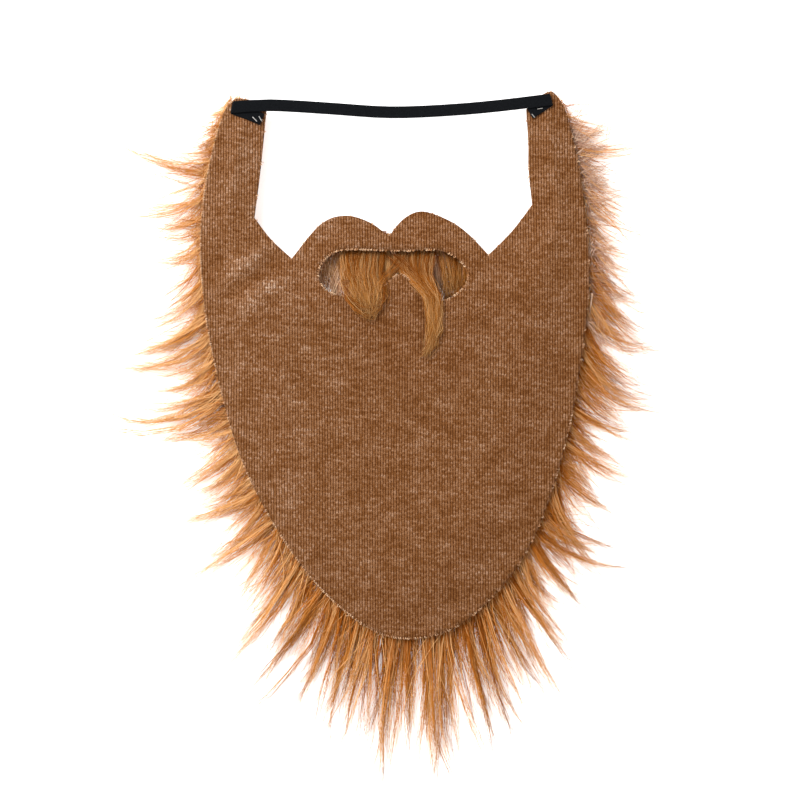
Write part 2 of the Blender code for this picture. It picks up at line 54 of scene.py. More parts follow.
# The cloth and how it lies on its pile, as in the model
CLOTH_THICKNESS = 1.2
TOUCH_GAP = 0.3
MIDDLE_HEIGHT = 14.3
CHIN_EDGE_HEIGHT = 11.0
ARM_END_HEIGHT = 8.0
ARM_END_Y = 155.0
ARM_FALL_LENGTH = 120.0
SHOULDER_WIDTH = 32.0
OUTLINE_STEP = 7.0

# The cut edge, walked once round, and how far the pile stands past it
#    x, y, pile
OUTER_EDGE = (
    (-80.0, 151.5, 1.0),
    (-86.5, 143.0, 3.0),
    (-94.5, 111.0, 6.0),
    (-97.5, 74.0, 7.0),
    (-92.0, 26.0, 8.0),
    (-75.0, -34.5, 8.0),
    (-46.0, -84.0, 9.0),
    (-16.5, -112.0, 9.0),
    (8.5, -119.5, 9.0),
    (37.0, -109.5, 9.0),
    (66.5, -75.0, 9.0),
    (85.5, -21.5, 8.0),
    (96.0, 40.5, 8.0),
    (97.0, 75.0, 7.0),
    (93.5, 110.0, 6.0),
    (87.0, 141.0, 3.0),
    (82.5, 151.0, 1.0),
)
RIGHT_ARM_END = (
    (82.5, 151.0, 1.0),
    (78.5, 155.0, -1.0),
    (72.0, 152.0, -1.5),
    (65.9, 146.0, -1.5),
)
RIGHT_ARM_INNER_EDGE = (
    (65.9, 146.0, -1.5),
    (66.9, 128.5, -2.0),
    (67.0, 116.0, -2.0),
    (68.8, 98.0, -2.0),
)
RIGHT_NOTCH = (
    (68.8, 98.0, -2.0),
    (58.5, 84.5, -2.0),
    (46.8, 72.7, -2.0),
)
RIGHT_HUMP = (
    (46.8, 72.7, -2.0),
    (37.0, 83.0, -2.0),
    (27.5, 89.8, -2.0),
    (14.0, 94.6, -2.0),
    (4.5, 91.0, -2.0),
    (-3.2, 82.0, -2.0),
)
LEFT_HUMP = (
    (-3.2, 82.0, -2.0),
    (-12.5, 89.0, -2.0),
    (-25.0, 92.5, -2.0),
    (-37.5, 88.0, -2.0),
    (-51.8, 70.9, -2.0),
)
LEFT_NOTCH = (
    (-51.8, 70.9, -2.0),
    (-62.5, 81.0, -2.0),
    (-70.5, 91.5, -2.0),
)
LEFT_ARM_INNER_EDGE = (
    (-70.5, 91.5, -2.0),
    (-68.5, 107.0, -2.0),
    (-66.5, 125.0, -2.0),
    (-64.5, 146.0, -1.5),
)
LEFT_ARM_END = (
    (-64.5, 146.0, -1.5),
    (-72.0, 150.5, -1.0),
    (-80.0, 151.5, 1.0),
)
CUT_EDGES = (OUTER_EDGE, RIGHT_ARM_END, RIGHT_ARM_INNER_EDGE, RIGHT_NOTCH, RIGHT_HUMP,
             LEFT_HUMP, LEFT_NOTCH, LEFT_ARM_INNER_EDGE, LEFT_ARM_END)
MOUTH_EDGE = (
    (-38.5, 63.0, -1.5),
    (-34.5, 55.0, -1.5),
    (-25.0, 51.8, -1.5),
    (-12.0, 52.3, -1.5),
    (-5.0, 57.5, -1.5),
    (2.0, 63.0, -1.5),
    (8.5, 59.0, -1.5),
    (14.5, 51.0, -1.5),
    (24.0, 49.6, -1.5),
    (32.9, 54.8, -1.5),
    (36.6, 62.6, -1.5),
    (31.7, 70.3, -1.5),
    (21.4, 74.9, -1.5),
    (3.0, 74.6, -1.5),
    (-24.5, 75.2, -1.5),
    (-34.0, 71.5, -1.5),
)

# The knit: ribs across, stitches along, and the soft puckers of the lying cloth
WALE = 1.34
COURSE = 1.05
WALE_RELIEF = 0.16
POINTS_PER_WALE = 4
SHEET_ROW = 4.0
EDGE_SAMPLE = 1.2
EDGE_MARGIN = 0.45
WALE_WANDER = 0.5
PUCKER_HEIGHT = 0.35
PUCKER_TOP_Y = 132.0
PUCKER_FADE = 20.0
# Soft creases of the cloth: start x, y, end x, y, height and half width
CREASES = (
    (-85.0, 60.0, -62.0, 79.0, 1.5, 3.8),
    (-78.0, 45.0, -52.0, 63.0, 1.2, 5.0),
    (-83.0, 52.0, -57.0, 71.0, -1.1, 3.2),
    (-96.0, 66.0, -80.0, 74.0, -0.9, 5.0),
    (-4.0, 44.0, -2.0, 10.0, -0.5, 7.0),
    (58.0, 68.0, 78.0, 84.0, 0.4, 4.0),
)
# Loops of cut yarn along the edges, and how many of them end in a spur
EDGE_LOOP_STEP = 1.3
SPUR_SHARE = 0.07
# A dark fibre that lies on the cloth near its left edge: rows of x and y
DARK_FIBRE = ((-80.0, -19.5), (-79.4, -18.4), (-78.6, -18.2), (-77.7, -17.1))

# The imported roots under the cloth
UNDERCOAT_INSET = 1.8
UNDERCOAT_CELL = 3.6
UNDERCOAT_COLUMNS = range(-30, 31)
UNDERCOAT_ROWS = range(-34, 42)
UNDERCOAT_MARGIN = 1.0
UNDERCOAT_RIM = 7.0
UNDERCOAT_LOW = 2.2
UNDERCOAT_ROOF_GAP = 1.2
UNDERCOAT_RIM_FALL = 1.2
UNDERCOAT_RIM_RISE = 3.5

# The pile pressed flat under the cloth
NAP_CELL = 8.6
NAP_COLUMNS = range(-12, 13)
NAP_ROWS = range(-14, 19)
NAP_SCATTER = 0.4
NAP_EDGE_MARGIN = 3.0
NAP_LENGTHS = (26.0, 44.0)
NAP_STRANDS = 6
NAP_LEAST = 8.0
NAP_STEP = 2.0
NAP_SHARES = (0.0, 0.15, 0.45, 0.75, 1.0)
NAP_FAN_ANGLE = 65.0
NAP_ROOT_DEPTH = 2.6
NAP_TIP_HEIGHT = 1.2
INNER_EDGES_LOW_Y = 60.0
INNER_EDGES_HALF_WIDTH = 72.0

# Locks of the fringe past the outer edge, left arm round the chin to the right arm
#    distance along the edge, bearing from +X, reach past the edge, width, curl from root to tip
LOCKS = (
    (8, 194, 11, 4, 0),
    (26, 190, 20, 5, -20),
    (38, 163, 53, 7, -30),
    (50, 192, 43, 7, -30),
    (66, 188, 25, 6, -25),
    (79, 196, 27, 7, -25),
    (94, 217, 33, 10, -25),
    (108, 209, 44, 10, -35),
    (121, 198, 50, 10, -40),
    (135, 208, 31, 9, -35),
    (152, 188, 63, 9, -40),
    (168, 193, 34, 8, -35),
    (180, 213, 39, 9, -20),
    (193, 214, 31, 9, -20),
    (205, 203, 41, 8, -25),
    (218, 218, 49, 9, -15),
    (233, 236, 41, 9, -10),
    (248, 232, 60, 11, -15),
    (262, 236, 63, 10, -12),
    (274, 247, 55, 9, -10),
    (284, 254, 60, 9, -10),
    (293, 257, 65, 8, 6),
    (302, 262, 66, 8, -6),
    (310, 265, 73, 9, 8),
    (318, 269, 60, 9, -8),
    (326, 271, 73, 9, 6),
    (334, 274, 74, 9, 8),
    (342, 285, 66, 9, 10),
    (350, 288, 62, 9, 6),
    (359, 293, 62, 9, 10),
    (370, 297, 60, 10, 8),
    (382, 304, 54, 9, 10),
    (395, 309, 40, 9, 10),
    (409, 336, 46, 10, 30),
    (425, 301, 49, 8, 20),
    (442, 319, 34, 9, 25),
    (458, 328, 44, 9, 30),
    (474, 332, 36, 9, 30),
    (490, 330, 45, 10, 45),
    (506, 322, 46, 10, 45),
    (523, 327, 46, 10, 50),
    (538, 314, 48, 10, 40),
    (553, 318, 45, 9, 45),
    (567, 320, 42, 8, 45),
    (580, 329, 44, 7, 40),
    (591, 330, 29, 6, 25),
    (601, 5, 40, 4, 25),
    (614, 347, 22, 5, 20),
)
# The wisps of a lock, by the share of its reach that each has
WISP_REACHES = (1.16, 1.06, 0.96, 0.86, 0.78, 0.66, 0.52)
STRANDS_PER_WISP = 22
FEWEST_STRANDS = 6
USUAL_LOCK_WIDTH = 9.0
CURL_GAIN = 1.5
LONGEST_HAIR = 80.0
FARTHEST_LEFT = -156.0
FARTHEST_RIGHT = 136.0
# How much paler the pile is made on the left side, as painted light, and beside the right arm
SIDE_PALING = 0.55
# A wisp's points: shares of its reach past the edge, and distances back to its roots under the cloth
WISP_SHARES = (0.1, 0.35, 0.6, 0.8, 1.0)
WISP_ROOTS = (14.0, 4.0)
WISP_ROOT_DEPTH = 3.2
# Nearer than this to the arms' ends the roots lie less far back
ROOT_ROOM = 30.0
# Shorter wisps between the locks, and single hairs
FILLER_STEP = 1.5
STRANDS_PER_FILLER = 14
FLYAWAYS = 900
FLUFF_STRANDS = 12
# How dense the fringe is along the outer edge: distance, share
FRINGE_DENSITY = (
    (0.0, 0.5),
    (70.0, 0.65),
    (110.0, 0.85),
    (180.0, 0.95),
    (240.0, 1.2),
    (400.0, 1.2),
    (460.0, 0.95),
    (540.0, 0.75),
    (580.0, 0.35),
    (630.0, 0.22),
)
LEFT_FRINGE_END = 232.0
CHIN_FRINGE_END = 400.0
# Single hairs that stand away from the fringe: rows of x, y and height
STRAYS = (
    ((88.0, 125.0, 6.0), (104.0, 121.0, 6.0), (118.0, 124.0, 5.0), (130.0, 131.0, 3.0)),
    ((82.0, 150.0, 6.0), (95.0, 156.0, 7.0), (107.0, 157.0, 6.0), (113.0, 150.0, 4.0), (112.0, 138.0, 3.0)),
    ((75.0, 153.0, 6.0), (78.0, 158.0, 7.0), (82.0, 161.0, 5.0)),
    ((-74.0, 149.0, 7.0), (-77.0, 156.0, 8.0), (-84.0, 158.0, 6.0)),
    ((-88.0, 142.0, 6.0), (-98.0, 143.0, 7.0), (-107.0, 136.0, 5.0), (-109.0, 126.0, 3.0)),
    ((-97.0, 80.0, 6.0), (-118.0, 82.0, 5.0), (-138.0, 77.0, 3.0), (-154.0, 73.5, 2.0)),
    ((92.0, 50.0, 6.0), (112.0, 49.0, 5.0), (127.0, 42.0, 3.0), (137.0, 37.0, 2.0)),
)

# Hair that falls from above the mouth. Each fan is a band of hair between a left and a
# right border, whose rows are y, left x, right x and lift over the cloth's lower side.
# Before the rows: how many guides, strands on each, how far they cross, and shade.
OVER = CLOTH_THICKNESS + 1.4
MOUTH_FANS = (
    (26, 24, 0.45, 0.5, (
        (85.0, -26.0, -5.0, -4.5),
        (77.0, -28.0, -5.0, -4.2),
        (70.0, -28.5, -6.0, -3.0),
        (63.0, -27.5, -7.0, -0.6),
        (57.0, -26.0, -5.5, 1.4),
        (51.0, -24.0, -4.5, OVER),
        (46.0, -19.0, -7.0, OVER),
        (41.0, -13.5, -10.5, OVER))),
    (24, 24, 0.32, 0.5, (
        (85.0, 1.0, 20.0, -4.5),
        (77.0, 0.0, 20.0, -4.2),
        (70.0, 0.5, 19.0, -3.0),
        (63.0, 3.5, 18.0, -0.6),
        (57.0, 10.0, 20.0, 1.4),
        (51.0, 15.3, 23.0, OVER),
        (43.0, 16.6, 22.8, OVER),
        (35.0, 17.6, 22.2, OVER),
        (28.0, 16.6, 20.4, OVER),
        (22.0, 14.0, 16.0, OVER))),
    (12, 20, 0.3, 0.35, (
        (84.0, -37.0, -26.0, -6.0),
        (76.0, -38.5, -26.0, -6.0),
        (70.0, -39.0, -27.0, -6.5),
        (65.0, -38.0, -28.0, -7.0),
        (60.0, -35.0, -28.0, -8.0))),
    (22, 24, 0.25, 0.6, (
        (84.0, 18.0, 35.0, -6.0),
        (76.0, 20.0, 37.0, -6.0),
        (69.0, 22.5, 37.0, -6.2),
        (62.0, 24.0, 36.5, -6.6),
        (55.0, 25.0, 34.5, -7.0),
        (48.0, 26.0, 31.0, -8.0))),
    (14, 24, 0.3, 0.3, (
        (84.0, -9.0, 8.0, -5.5),
        (77.0, -9.0, 8.0, -5.2),
        (71.0, -8.0, 8.0, -4.5),
        (66.0, -7.0, 8.0, -3.5),
        (61.0, -6.0, 7.0, -3.5),
        (56.0, -5.0, 4.0, -5.0))),
)
# Dark wisps that arch over the lip and into the two tufts: rows of x, y and lift
LIP_ARCHES = (
    ((7.0, 73.0, -2.5), (3.5, 68.0, -1.0), (-1.5, 63.5, 0.4), (-6.0, 59.0, 1.8), (-9.0, 53.5, OVER + 0.4),
     (-10.5, 48.0, OVER + 0.3), (-12.0, 43.0, OVER)),
    ((3.0, 72.0, -2.5), (-1.0, 67.0, -1.0), (-5.0, 62.0, 0.6), (-7.5, 57.0, 2.0), (-8.0, 52.0, OVER + 0.6),
     (-10.0, 47.0, OVER + 0.4), (-14.5, 43.0, OVER + 0.2)),
    ((-4.0, 72.5, -2.5), (0.5, 68.5, -1.0), (6.0, 64.5, 0.6), (11.5, 59.5, 2.0), (16.0, 54.0, OVER + 0.2),
     (18.0, 48.0, OVER), (18.5, 41.0, OVER)),
    ((-1.0, 74.0, -2.5), (4.0, 69.5, -1.0), (10.0, 64.0, 0.8), (15.5, 57.5, 2.2), (19.5, 50.0, OVER + 0.4),
     (21.5, 43.0, OVER + 0.2), (21.0, 36.0, OVER)),
    ((-24.5, 60.0, 1.5), (-24.5, 55.0, 2.4), (-21.5, 50.0, OVER + 0.6), (-17.0, 46.5, OVER + 0.6),
     (-12.0, 45.0, OVER + 0.6), (-8.0, 47.0, OVER + 0.4)),
    ((-25.0, 54.0, 2.2), (-24.0, 50.0, 3.2), (-20.5, 45.5, OVER + 1.2), (-15.5, 42.0, OVER + 1.2),
     (-11.0, 41.5, OVER + 1.0), (-8.5, 44.0, OVER + 0.6)),
    ((-6.0, 57.0, 2.4), (-6.0, 51.0, OVER + 1.0), (-8.0, 46.0, OVER + 1.2), (-12.0, 42.0, OVER + 1.1),
     (-17.0, 42.5, OVER + 0.9)),
    ((-27.0, 60.0, 0.6), (-25.5, 54.0, 2.6), (-22.0, 49.0, OVER + 1.0), (-16.0, 45.0, OVER + 1.2),
     (-10.0, 46.0, OVER + 1.2), (-7.0, 50.0, OVER + 0.8)),
)
ARCH_STRANDS = 16
ARCH_SHADE = 0.85
# Thin pale hair behind the mouth hole: where it starts, and how far it falls, leans and sinks
VEIL_GUIDES = 170
VEIL_STRANDS = 14
VEIL_TOP_Y = 79.0
VEIL_SPAN = (-40.0, 38.0)
VEIL_FALLS = (22.0, 38.0)
VEIL_LEAN = 0.45
VEIL_ROOT_DEPTH = 5.0
VEIL_TIP_DEPTHS = (6.0, 10.5)

# The elastic strap, folded under at both ends, as in the model
STRAP_WIDTH = 6.0
STRAP_THICKNESS = 0.9
STRAP_FOLD_RADIUS = (STRAP_THICKNESS + TOUCH_GAP) / 2
STRAP_SAG = 3.0
STRAP_LEFT_CREASE_ANGLE = 78.0
STRAP_RIGHT_CREASE_ANGLE = 104.0
STRAP_LEFT_END_LENGTH = 17.8
STRAP_RIGHT_END_LENGTH = 13.2
STRAP_STATION_STEP = 8.0
STRAP_ALONG_STEP = 1.0
STRAP_FOLD_STEP = 0.2
STRAP_RIBS = 9
POINTS_PER_RIB = 4
STRAP_RIB_RELIEF = 0.1
STRAP_SELVEDGE_THINNING = 0.45
STRAP_SLOPE_STEP = 0.01
#    x, y
STRAP_COURSE = (
    (-81.0, 146.7),
    (-62.5, 147.7),
    (-32.5, 146.2),
    (-2.5, 144.5),
    (27.5, 145.5),
    (52.5, 147.5),
    (77.5, 150.5),
)
LEFT_ARM_INNER_X = -64.0
RIGHT_ARM_INNER_X = 66.0
#    leg x, leg y
STAPLE_LEGS = (
    (-71.3, 141.8),
    (-66.9, 139.9),
    (74.0, 146.2),
    (68.6, 143.3),
)

# The camera looks straight down: the photograph is 400 mm wide at the cloth
VIEW_WIDTH = 400.0
VIEW_MIDDLE_X = 2.5
LENS = 110.0
SENSOR = 36.0

# The studio, in metres and watts
FLOOR_SIZE = 6.0
SKY_COLOUR = (1.0, 0.99, 0.975, 1.0)
SKY_STRENGTH = 0.85
KEY_PLACE = (-0.9, 0.9, 1.5)
KEY_SIZE = 0.9
KEY_POWER = 38.0


def smoothstep(share):
    share = np.clip(share, 0.0, 1.0)
    return share * share * (3 - 2 * share)


def smooth_line(rows, step, closed=False):
    """Samples about step apart on a smooth curve through the rows, whatever columns they have."""
    count = len(rows)
    spans = count if closed else count - 1
    line = []
    for i in range(spans):
        if closed:
            before, start, end, after = (rows[(i + k) % count] for k in (-1, 0, 1, 2))
        else:
            before, start, end, after = (rows[min(max(i + k, 0), count - 1)] for k in (-1, 0, 1, 2))
        pieces = max(1, round(math.dist(start[:2], end[:2]) / step))
        for piece in range(pieces):
            t = piece / pieces
            line.append(tuple(
                0.5 * (2 * b + (c - a) * t + (2 * a - 5 * b + 4 * c - d) * t ** 2
                       + (3 * b - a - 3 * c + d) * t ** 3)
                for a, b, c, d in zip(before, start, end, after)))
    if not closed:
        line.append(rows[-1])
    return line


def cloth_outline(step):
    """The whole cut edge as one closed run of (x, y, pile) samples."""
    outline = []
    for edge in CUT_EDGES:
        outline += smooth_line(edge, step)[:-1]
    return outline


# Depths are worked out for that many places at once, to save memory
PLACES_AT_ONCE = 2000


class Loop:
    """A closed line in plan that knows how deep places lie inside it."""

    def __init__(self, rows):
        self.corners = np.array([row[:2] for row in rows])
        self.starts = np.roll(self.corners, 1, axis=0)
        self.runs = self.corners - self.starts

    def depths(self, places):
        """How far each place lies inside, negative outside."""
        places = np.asarray(places, dtype=float)
        depths = []
        for first in range(0, len(places), PLACES_AT_ONCE):
            some = places[first:first + PLACES_AT_ONCE, None, :]
            offsets = some - self.starts
            shares = (offsets * self.runs).sum(axis=2) / (self.runs ** 2).sum(axis=1)
            gaps = offsets - np.clip(shares, 0.0, 1.0)[:, :, None] * self.runs
            nearest = np.sqrt((gaps ** 2).sum(axis=2).min(axis=1))
            spans = (self.starts[:, 1] > some[:, :, 1]) != (self.corners[:, 1] > some[:, :, 1])
            rises = np.where(self.runs[:, 1] == 0.0, 1.0, self.runs[:, 1])
            crossings = spans & (offsets[:, :, 0] < self.runs[:, 0] * offsets[:, :, 1] / rises)
            depths.append(np.where(crossings.sum(axis=1) % 2 == 1, nearest, -nearest))
        return np.concatenate(depths)

    def moved(self, reach):
        """The line moved outwards by reach."""
        alongs = np.roll(self.corners, -1, axis=0) - self.starts
        alongs /= np.linalg.norm(alongs, axis=1)[:, None]
        return Loop(self.corners + reach * np.column_stack((alongs[:, 1], -alongs[:, 0])))


OUTLINE = Loop(cloth_outline(OUTLINE_STEP))
MOUTH = Loop(smooth_line(MOUTH_EDGE, OUTLINE_STEP, closed=True))
cloth_low, cloth_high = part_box("knit_backing")
STAND_X = cloth_low.x / MM - OUTLINE.corners[:, 0].min()
STAND_Y = cloth_low.y / MM - OUTLINE.corners[:, 1].min()


def place(x, y, z):
    """A point of the cloth's frame, in millimetres, as a vector of the model's frame."""
    return Vector(((x + STAND_X) * MM, (y + STAND_Y) * MM, z * MM))


def edge_height(y):
    rise = smoothstep((ARM_END_Y - y) / ARM_FALL_LENGTH)
    return ARM_END_HEIGHT + (CHIN_EDGE_HEIGHT - ARM_END_HEIGHT) * rise


def cloth_heights(places):
    """Heights of the cloth's lower side: level in the middle, falling to the edge and to the arms' ends."""
    lows = edge_height(np.asarray(places)[:, 1])
    return lows + (MIDDLE_HEIGHT - lows) * smoothstep(OUTLINE.depths(places) / SHOULDER_WIDTH)


def cloth_height(x, y):
    return float(cloth_heights([(x, y)])[0])


def operator(operation):
    """An operator of Term and its reflected form, each of which makes a Math node."""
    return (lambda term, value: term.graph.math(operation, term, value),
            lambda term, value: term.graph.math(operation, value, term))


class Term:
    """A node's output socket that takes part in Python arithmetic."""

    def __init__(self, graph, socket):
        self.graph = graph
        self.socket = socket

    def other(self, output):
        return Term(self.graph, self.socket.node.outputs[output])

    __add__, __radd__ = operator("ADD")
    __sub__, __rsub__ = operator("SUBTRACT")
    __mul__, __rmul__ = operator("MULTIPLY")
    __truediv__, __rtruediv__ = operator("DIVIDE")
    __pow__, __rpow__ = operator("POWER")


class Graph:
    """A node tree whose nodes are made by one method."""

    def __init__(self, tree):
        self.tree = tree

    def node(self, kind, settings=None, sockets=None, output=0):
        """Make a node, set its settings and then its sockets, and return one of its outputs."""
        made = self.tree.nodes.new(kind)
        for name, value in (settings or {}).items():
            if name == "stops":
                self.set_stops(made.color_ramp, value)
            else:
                setattr(made, name, value)
        for name, value in (sockets or {}).items():
            self.feed(made.inputs[name], value)
        return Term(self, made.outputs[output])

    def feed(self, socket, value):
        if isinstance(value, Term):
            self.tree.links.new(value.socket, socket)
        else:
            socket.default_value = value

    def set_stops(self, ramp, stops):
        ramp.elements.remove(ramp.elements[-1])
        ramp.elements[0].position = stops[0][0]
        ramp.elements[0].color = (*stops[0][1], 1.0)
        for position, colour in stops[1:]:
            ramp.elements.new(position).color = (*colour, 1.0)

    def math(self, operation, *values):
        return self.node("ShaderNodeMath", {"operation": operation}, dict(enumerate(values)))

    def vector_math(self, operation, *values, output=0):
        return self.node("ShaderNodeVectorMath", {"operation": operation}, dict(enumerate(values)), output)

    def scaled(self, vector, factor):
        return self.node("ShaderNodeVectorMath", {"operation": "SCALE"}, {0: vector, "Scale": factor})

    def parts(self, vector):
        split = self.node("ShaderNodeSeparateXYZ", {}, {0: vector})
        return split, split.other(1), split.other(2)

    def combined(self, x=0.0, y=0.0, z=0.0):
        return self.node("ShaderNodeCombineXYZ", {}, {0: x, 1: y, 2: z})

    def mixed(self, factor, first, second):
        """Blend two colours."""
        return self.node("ShaderNodeMix", {"data_type": "RGBA"}, {0: factor, 6: first, 7: second}, output=2)

    def fade(self, value, low, high):
        """0 at low and past it, 1 at high and past it, smooth between."""
        return self.node("ShaderNodeMapRange", {"interpolation_type": "SMOOTHSTEP"},
                         {"Value": value, "From Min": low, "From Max": high})

    def noise(self, vector, scale, detail=2.0, roughness=0.5):
        return self.node("ShaderNodeTexNoise", {"noise_dimensions": "3D"},
                         {"Vector": vector, "Scale": scale, "Detail": detail, "Roughness": roughness})


class Finish(Graph):
    """A material of one Principled surface."""

    def __init__(self, name, roughness, **sockets):
        self.material = bpy.data.materials.new(name)
        self.material.use_nodes = True
        super().__init__(self.material.node_tree)
        self.surface = self.tree.nodes["Principled BSDF"]
        self.set(Roughness=roughness, **sockets)

    def set(self, **sockets):
        for socket, value in sockets.items():
            self.feed(self.surface.inputs[socket.replace("_", " ")], value)

    def object_place(self):
        return self.node("ShaderNodeTexCoord", output="Object")

    def attribute(self, name):
        return self.node("ShaderNodeAttribute", {"attribute_name": name}, output="Fac")

    def bump(self, height, distance, strength=1.0):
        return self.node("ShaderNodeBump", {},
                         {"Height": height, "Distance": distance, "Strength": strength}, output="Normal")


def grey(value):
    return (value, value, value, 1.0)


# Colours of the knit: painted shade for its grooves, then from dark to pale yarn; and of a hair from its
# root to its tip
KNIT_GROOVE_SHADE = (0.055, 0.014, 0.002, 1.0)
KNIT_STOPS = (
    (0.0, (0.100, 0.033, 0.007)),
    (0.35, (0.208, 0.082, 0.026)),
    (0.6, (0.310, 0.150, 0.070)),
    (0.8, (0.450, 0.262, 0.160)),
    (1.0, (0.640, 0.450, 0.330)),
)
# A hair's dark root is partly its own colour and partly painted shade under the cloth's edge
HAIR_STOPS = (
    (0.0, (0.370, 0.100, 0.010)),
    (0.2, (0.600, 0.186, 0.019)),
    (0.5, (0.740, 0.290, 0.052)),
    (0.8, (0.620, 0.305, 0.100)),
    (1.0, (0.430, 0.235, 0.100)),
)
HAIR_DARK = (0.240, 0.055, 0.004, 1.0)
HAIR_PALE = (0.980, 0.590, 0.260, 1.0)
UNDERCOAT_STOPS = (
    (0.25, (0.240, 0.080, 0.018)),
    (0.55, (0.480, 0.190, 0.050)),
    (0.8, (0.680, 0.310, 0.100)),
)
CUT_YARN_DARK = (0.480, 0.210, 0.080, 1.0)
CUT_YARN_PALE = (0.880, 0.580, 0.360, 1.0)
ELASTIC_BLACK = (0.0020, 0.0022, 0.0028, 1.0)
ELASTIC_LINT = (0.0130, 0.0150, 0.0180, 1.0)
WIRE_BRIGHT = (0.62, 0.61, 0.59, 1.0)
WIRE_GRIME = (0.38, 0.37, 0.35, 1.0)
# How far a stitch's legs slant, and how far its course shifts from rib to rib, in courses
STITCH_SLANT = 0.7
COURSE_SHIFT = 0.31
# The elastic's weft: its pitch along the band and the pitch of its waves across, in millimetres
WEFT_PITCH = 0.55
WEFT_WAVE = 1.3


def knit_finish():
    """Heather weft knit: ribs of slanted stitches in mixed yarn, with painted shade in its grooves, painted
    light on the crests of its creases and painted shade in their hollows, and painted light towards the left
    side and the arms.
    """
    finish = Finish("knitted_cloth", 0.95, Specular_IOR_Level=0.05)
    x, y, _ = finish.parts(finish.object_place())
    wales = finish.attribute("wale")
    column = finish.math("FLOOR", wales)
    across = wales - column
    from_middle = finish.math("ABSOLUTE", across - 0.5) * 2.0
    courses = y / (COURSE * MM) + from_middle * STITCH_SLANT + column * COURSE_SHIFT
    row = finish.math("FLOOR", courses)
    along = courses - row
    fray = finish.noise(finish.combined(x, y * 0.4), scale=2400.0)
    rib = 1.0 - finish.fade(from_middle + (fray - 0.5) * 1.8, low=0.35, high=1.1)
    loop = finish.math("SINE", along * math.pi)
    stitch = finish.node("ShaderNodeTexWhiteNoise", {"noise_dimensions": "2D"},
                         {"Vector": finish.combined(column, row)})
    yarn = finish.noise(finish.combined(x * 0.1, y + x * 0.03), scale=700.0, detail=3.0, roughness=0.65)
    cloud = finish.noise(finish.combined(x, y * 1.6), scale=60.0, detail=4.0, roughness=0.6)
    # Painted light: the cloth is made paler towards its left side and its arms, where more light falls
    painted_light_left_and_arms = finish.fade(x, low=0.02, high=-0.075) * 0.06 + finish.fade(y, low=0.07, high=0.13) * 0.03
    # Painted light on the crests of the creases and painted shade in their hollows
    painted_crease_light_and_shade = finish.attribute("crease") * 0.13
    shade = stitch * 0.34 + yarn * 0.7 + cloud * 0.6 + painted_light_left_and_arms + painted_crease_light_and_shade - 0.36
    body = finish.node("ShaderNodeValToRGB", {"stops": KNIT_STOPS}, {"Fac": shade})
    # Painted shade in the grooves between the ribs and where the stitches meet
    cover = rib * (loop * 0.45 + 0.55)
    finish.set(Base_Color=finish.mixed(cover, KNIT_GROOVE_SHADE, body))
    height = rib * (loop * 0.5 + 0.5) + yarn * 0.2
    finish.set(Normal=finish.bump(height, distance=0.0003, strength=0.7))
    return finish.material


def hair_finish(name, lightness=1.0, reach=1.0, saturation=1.0):
    """Acrylic pile: dark at the root, partly its own colour and partly painted shade under the cloth's edge,
    golden along it and duller at the tip, each strand its own shade.

    reach is how far along the run from root to tip the piece's hair goes.
    """
    finish = Finish(name, 0.5, Specular_IOR_Level=0.05)
    along = finish.attribute("along")
    shade = finish.attribute("shade")
    colour = finish.node("ShaderNodeValToRGB", {"stops": HAIR_STOPS}, {"Fac": along * reach})
    dark = finish.mixed(finish.fade(shade, low=0.5, high=1.1) * 0.8, colour, HAIR_DARK)
    pale = finish.mixed(finish.fade(shade, low=0.5, high=-0.1) * 0.75, dark, HAIR_PALE)
    light = finish.node("ShaderNodeHueSaturation", {},
                        {"Value": lightness, "Saturation": saturation, "Color": pale})
    finish.set(Base_Color=light, Roughness=0.4 + shade * 0.2)
    return finish.material


def undercoat_finish():
    """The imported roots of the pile, streaked along the nap."""
    finish = Finish("pile_undercoat", 0.8, Specular_IOR_Level=0.3)
    x, y, z = finish.parts(finish.object_place())
    streak = finish.noise(finish.combined(x, y * 0.08, z), scale=1500.0, detail=3.0, roughness=0.6)
    colour = finish.node("ShaderNodeValToRGB", {"stops": UNDERCOAT_STOPS}, {"Fac": streak})
    finish.set(Base_Color=colour, Normal=finish.bump(streak, distance=0.0008))
    return finish.material


def edge_yarn_finish():
    """Cut ends of the ground yarn, paler than the cloth."""
    finish = Finish("edge_yarn", 0.8, Specular_IOR_Level=0.3)
    finish.set(Base_Color=finish.mixed(finish.attribute("shade"), CUT_YARN_DARK, CUT_YARN_PALE))
    return finish.material


def elastic_finish():
    """Black braided elastic: fine lengthwise ribs crossed by its weft."""
    finish = Finish("black_elastic", 0.9, Specular_IOR_Level=0.06)
    along = finish.attribute("along_mm")
    across = finish.attribute("across_mm")
    wave = finish.math("SINE", across * (2 * math.pi / WEFT_WAVE)) * 1.2
    weft = finish.math("SINE", along * (2 * math.pi / WEFT_PITCH) + wave)
    lint = finish.noise(finish.object_place(), scale=1800.0, detail=3.0, roughness=0.6)
    tone = finish.fade(weft * 0.3 + lint, low=0.35, high=1.0)
    finish.set(Base_Color=finish.mixed(tone, ELASTIC_BLACK, ELASTIC_LINT))
    finish.set(Normal=finish.bump(weft * 0.5 + lint * 0.4, distance=0.00012, strength=0.8))
    finish.set(Roughness=0.75 + lint * 0.2)
    return finish.material


def wire_finish():
    """Drawn steel wire with a little grime."""
    finish = Finish("steel_wire", 0.3, Metallic=1.0)
    grime = finish.noise(finish.object_place(), scale=900.0, detail=3.0, roughness=0.6)
    finish.set(Base_Color=finish.mixed(grime, WIRE_BRIGHT, WIRE_GRIME))
    finish.set(Roughness=0.22 + grime * 0.3)
    return finish.material


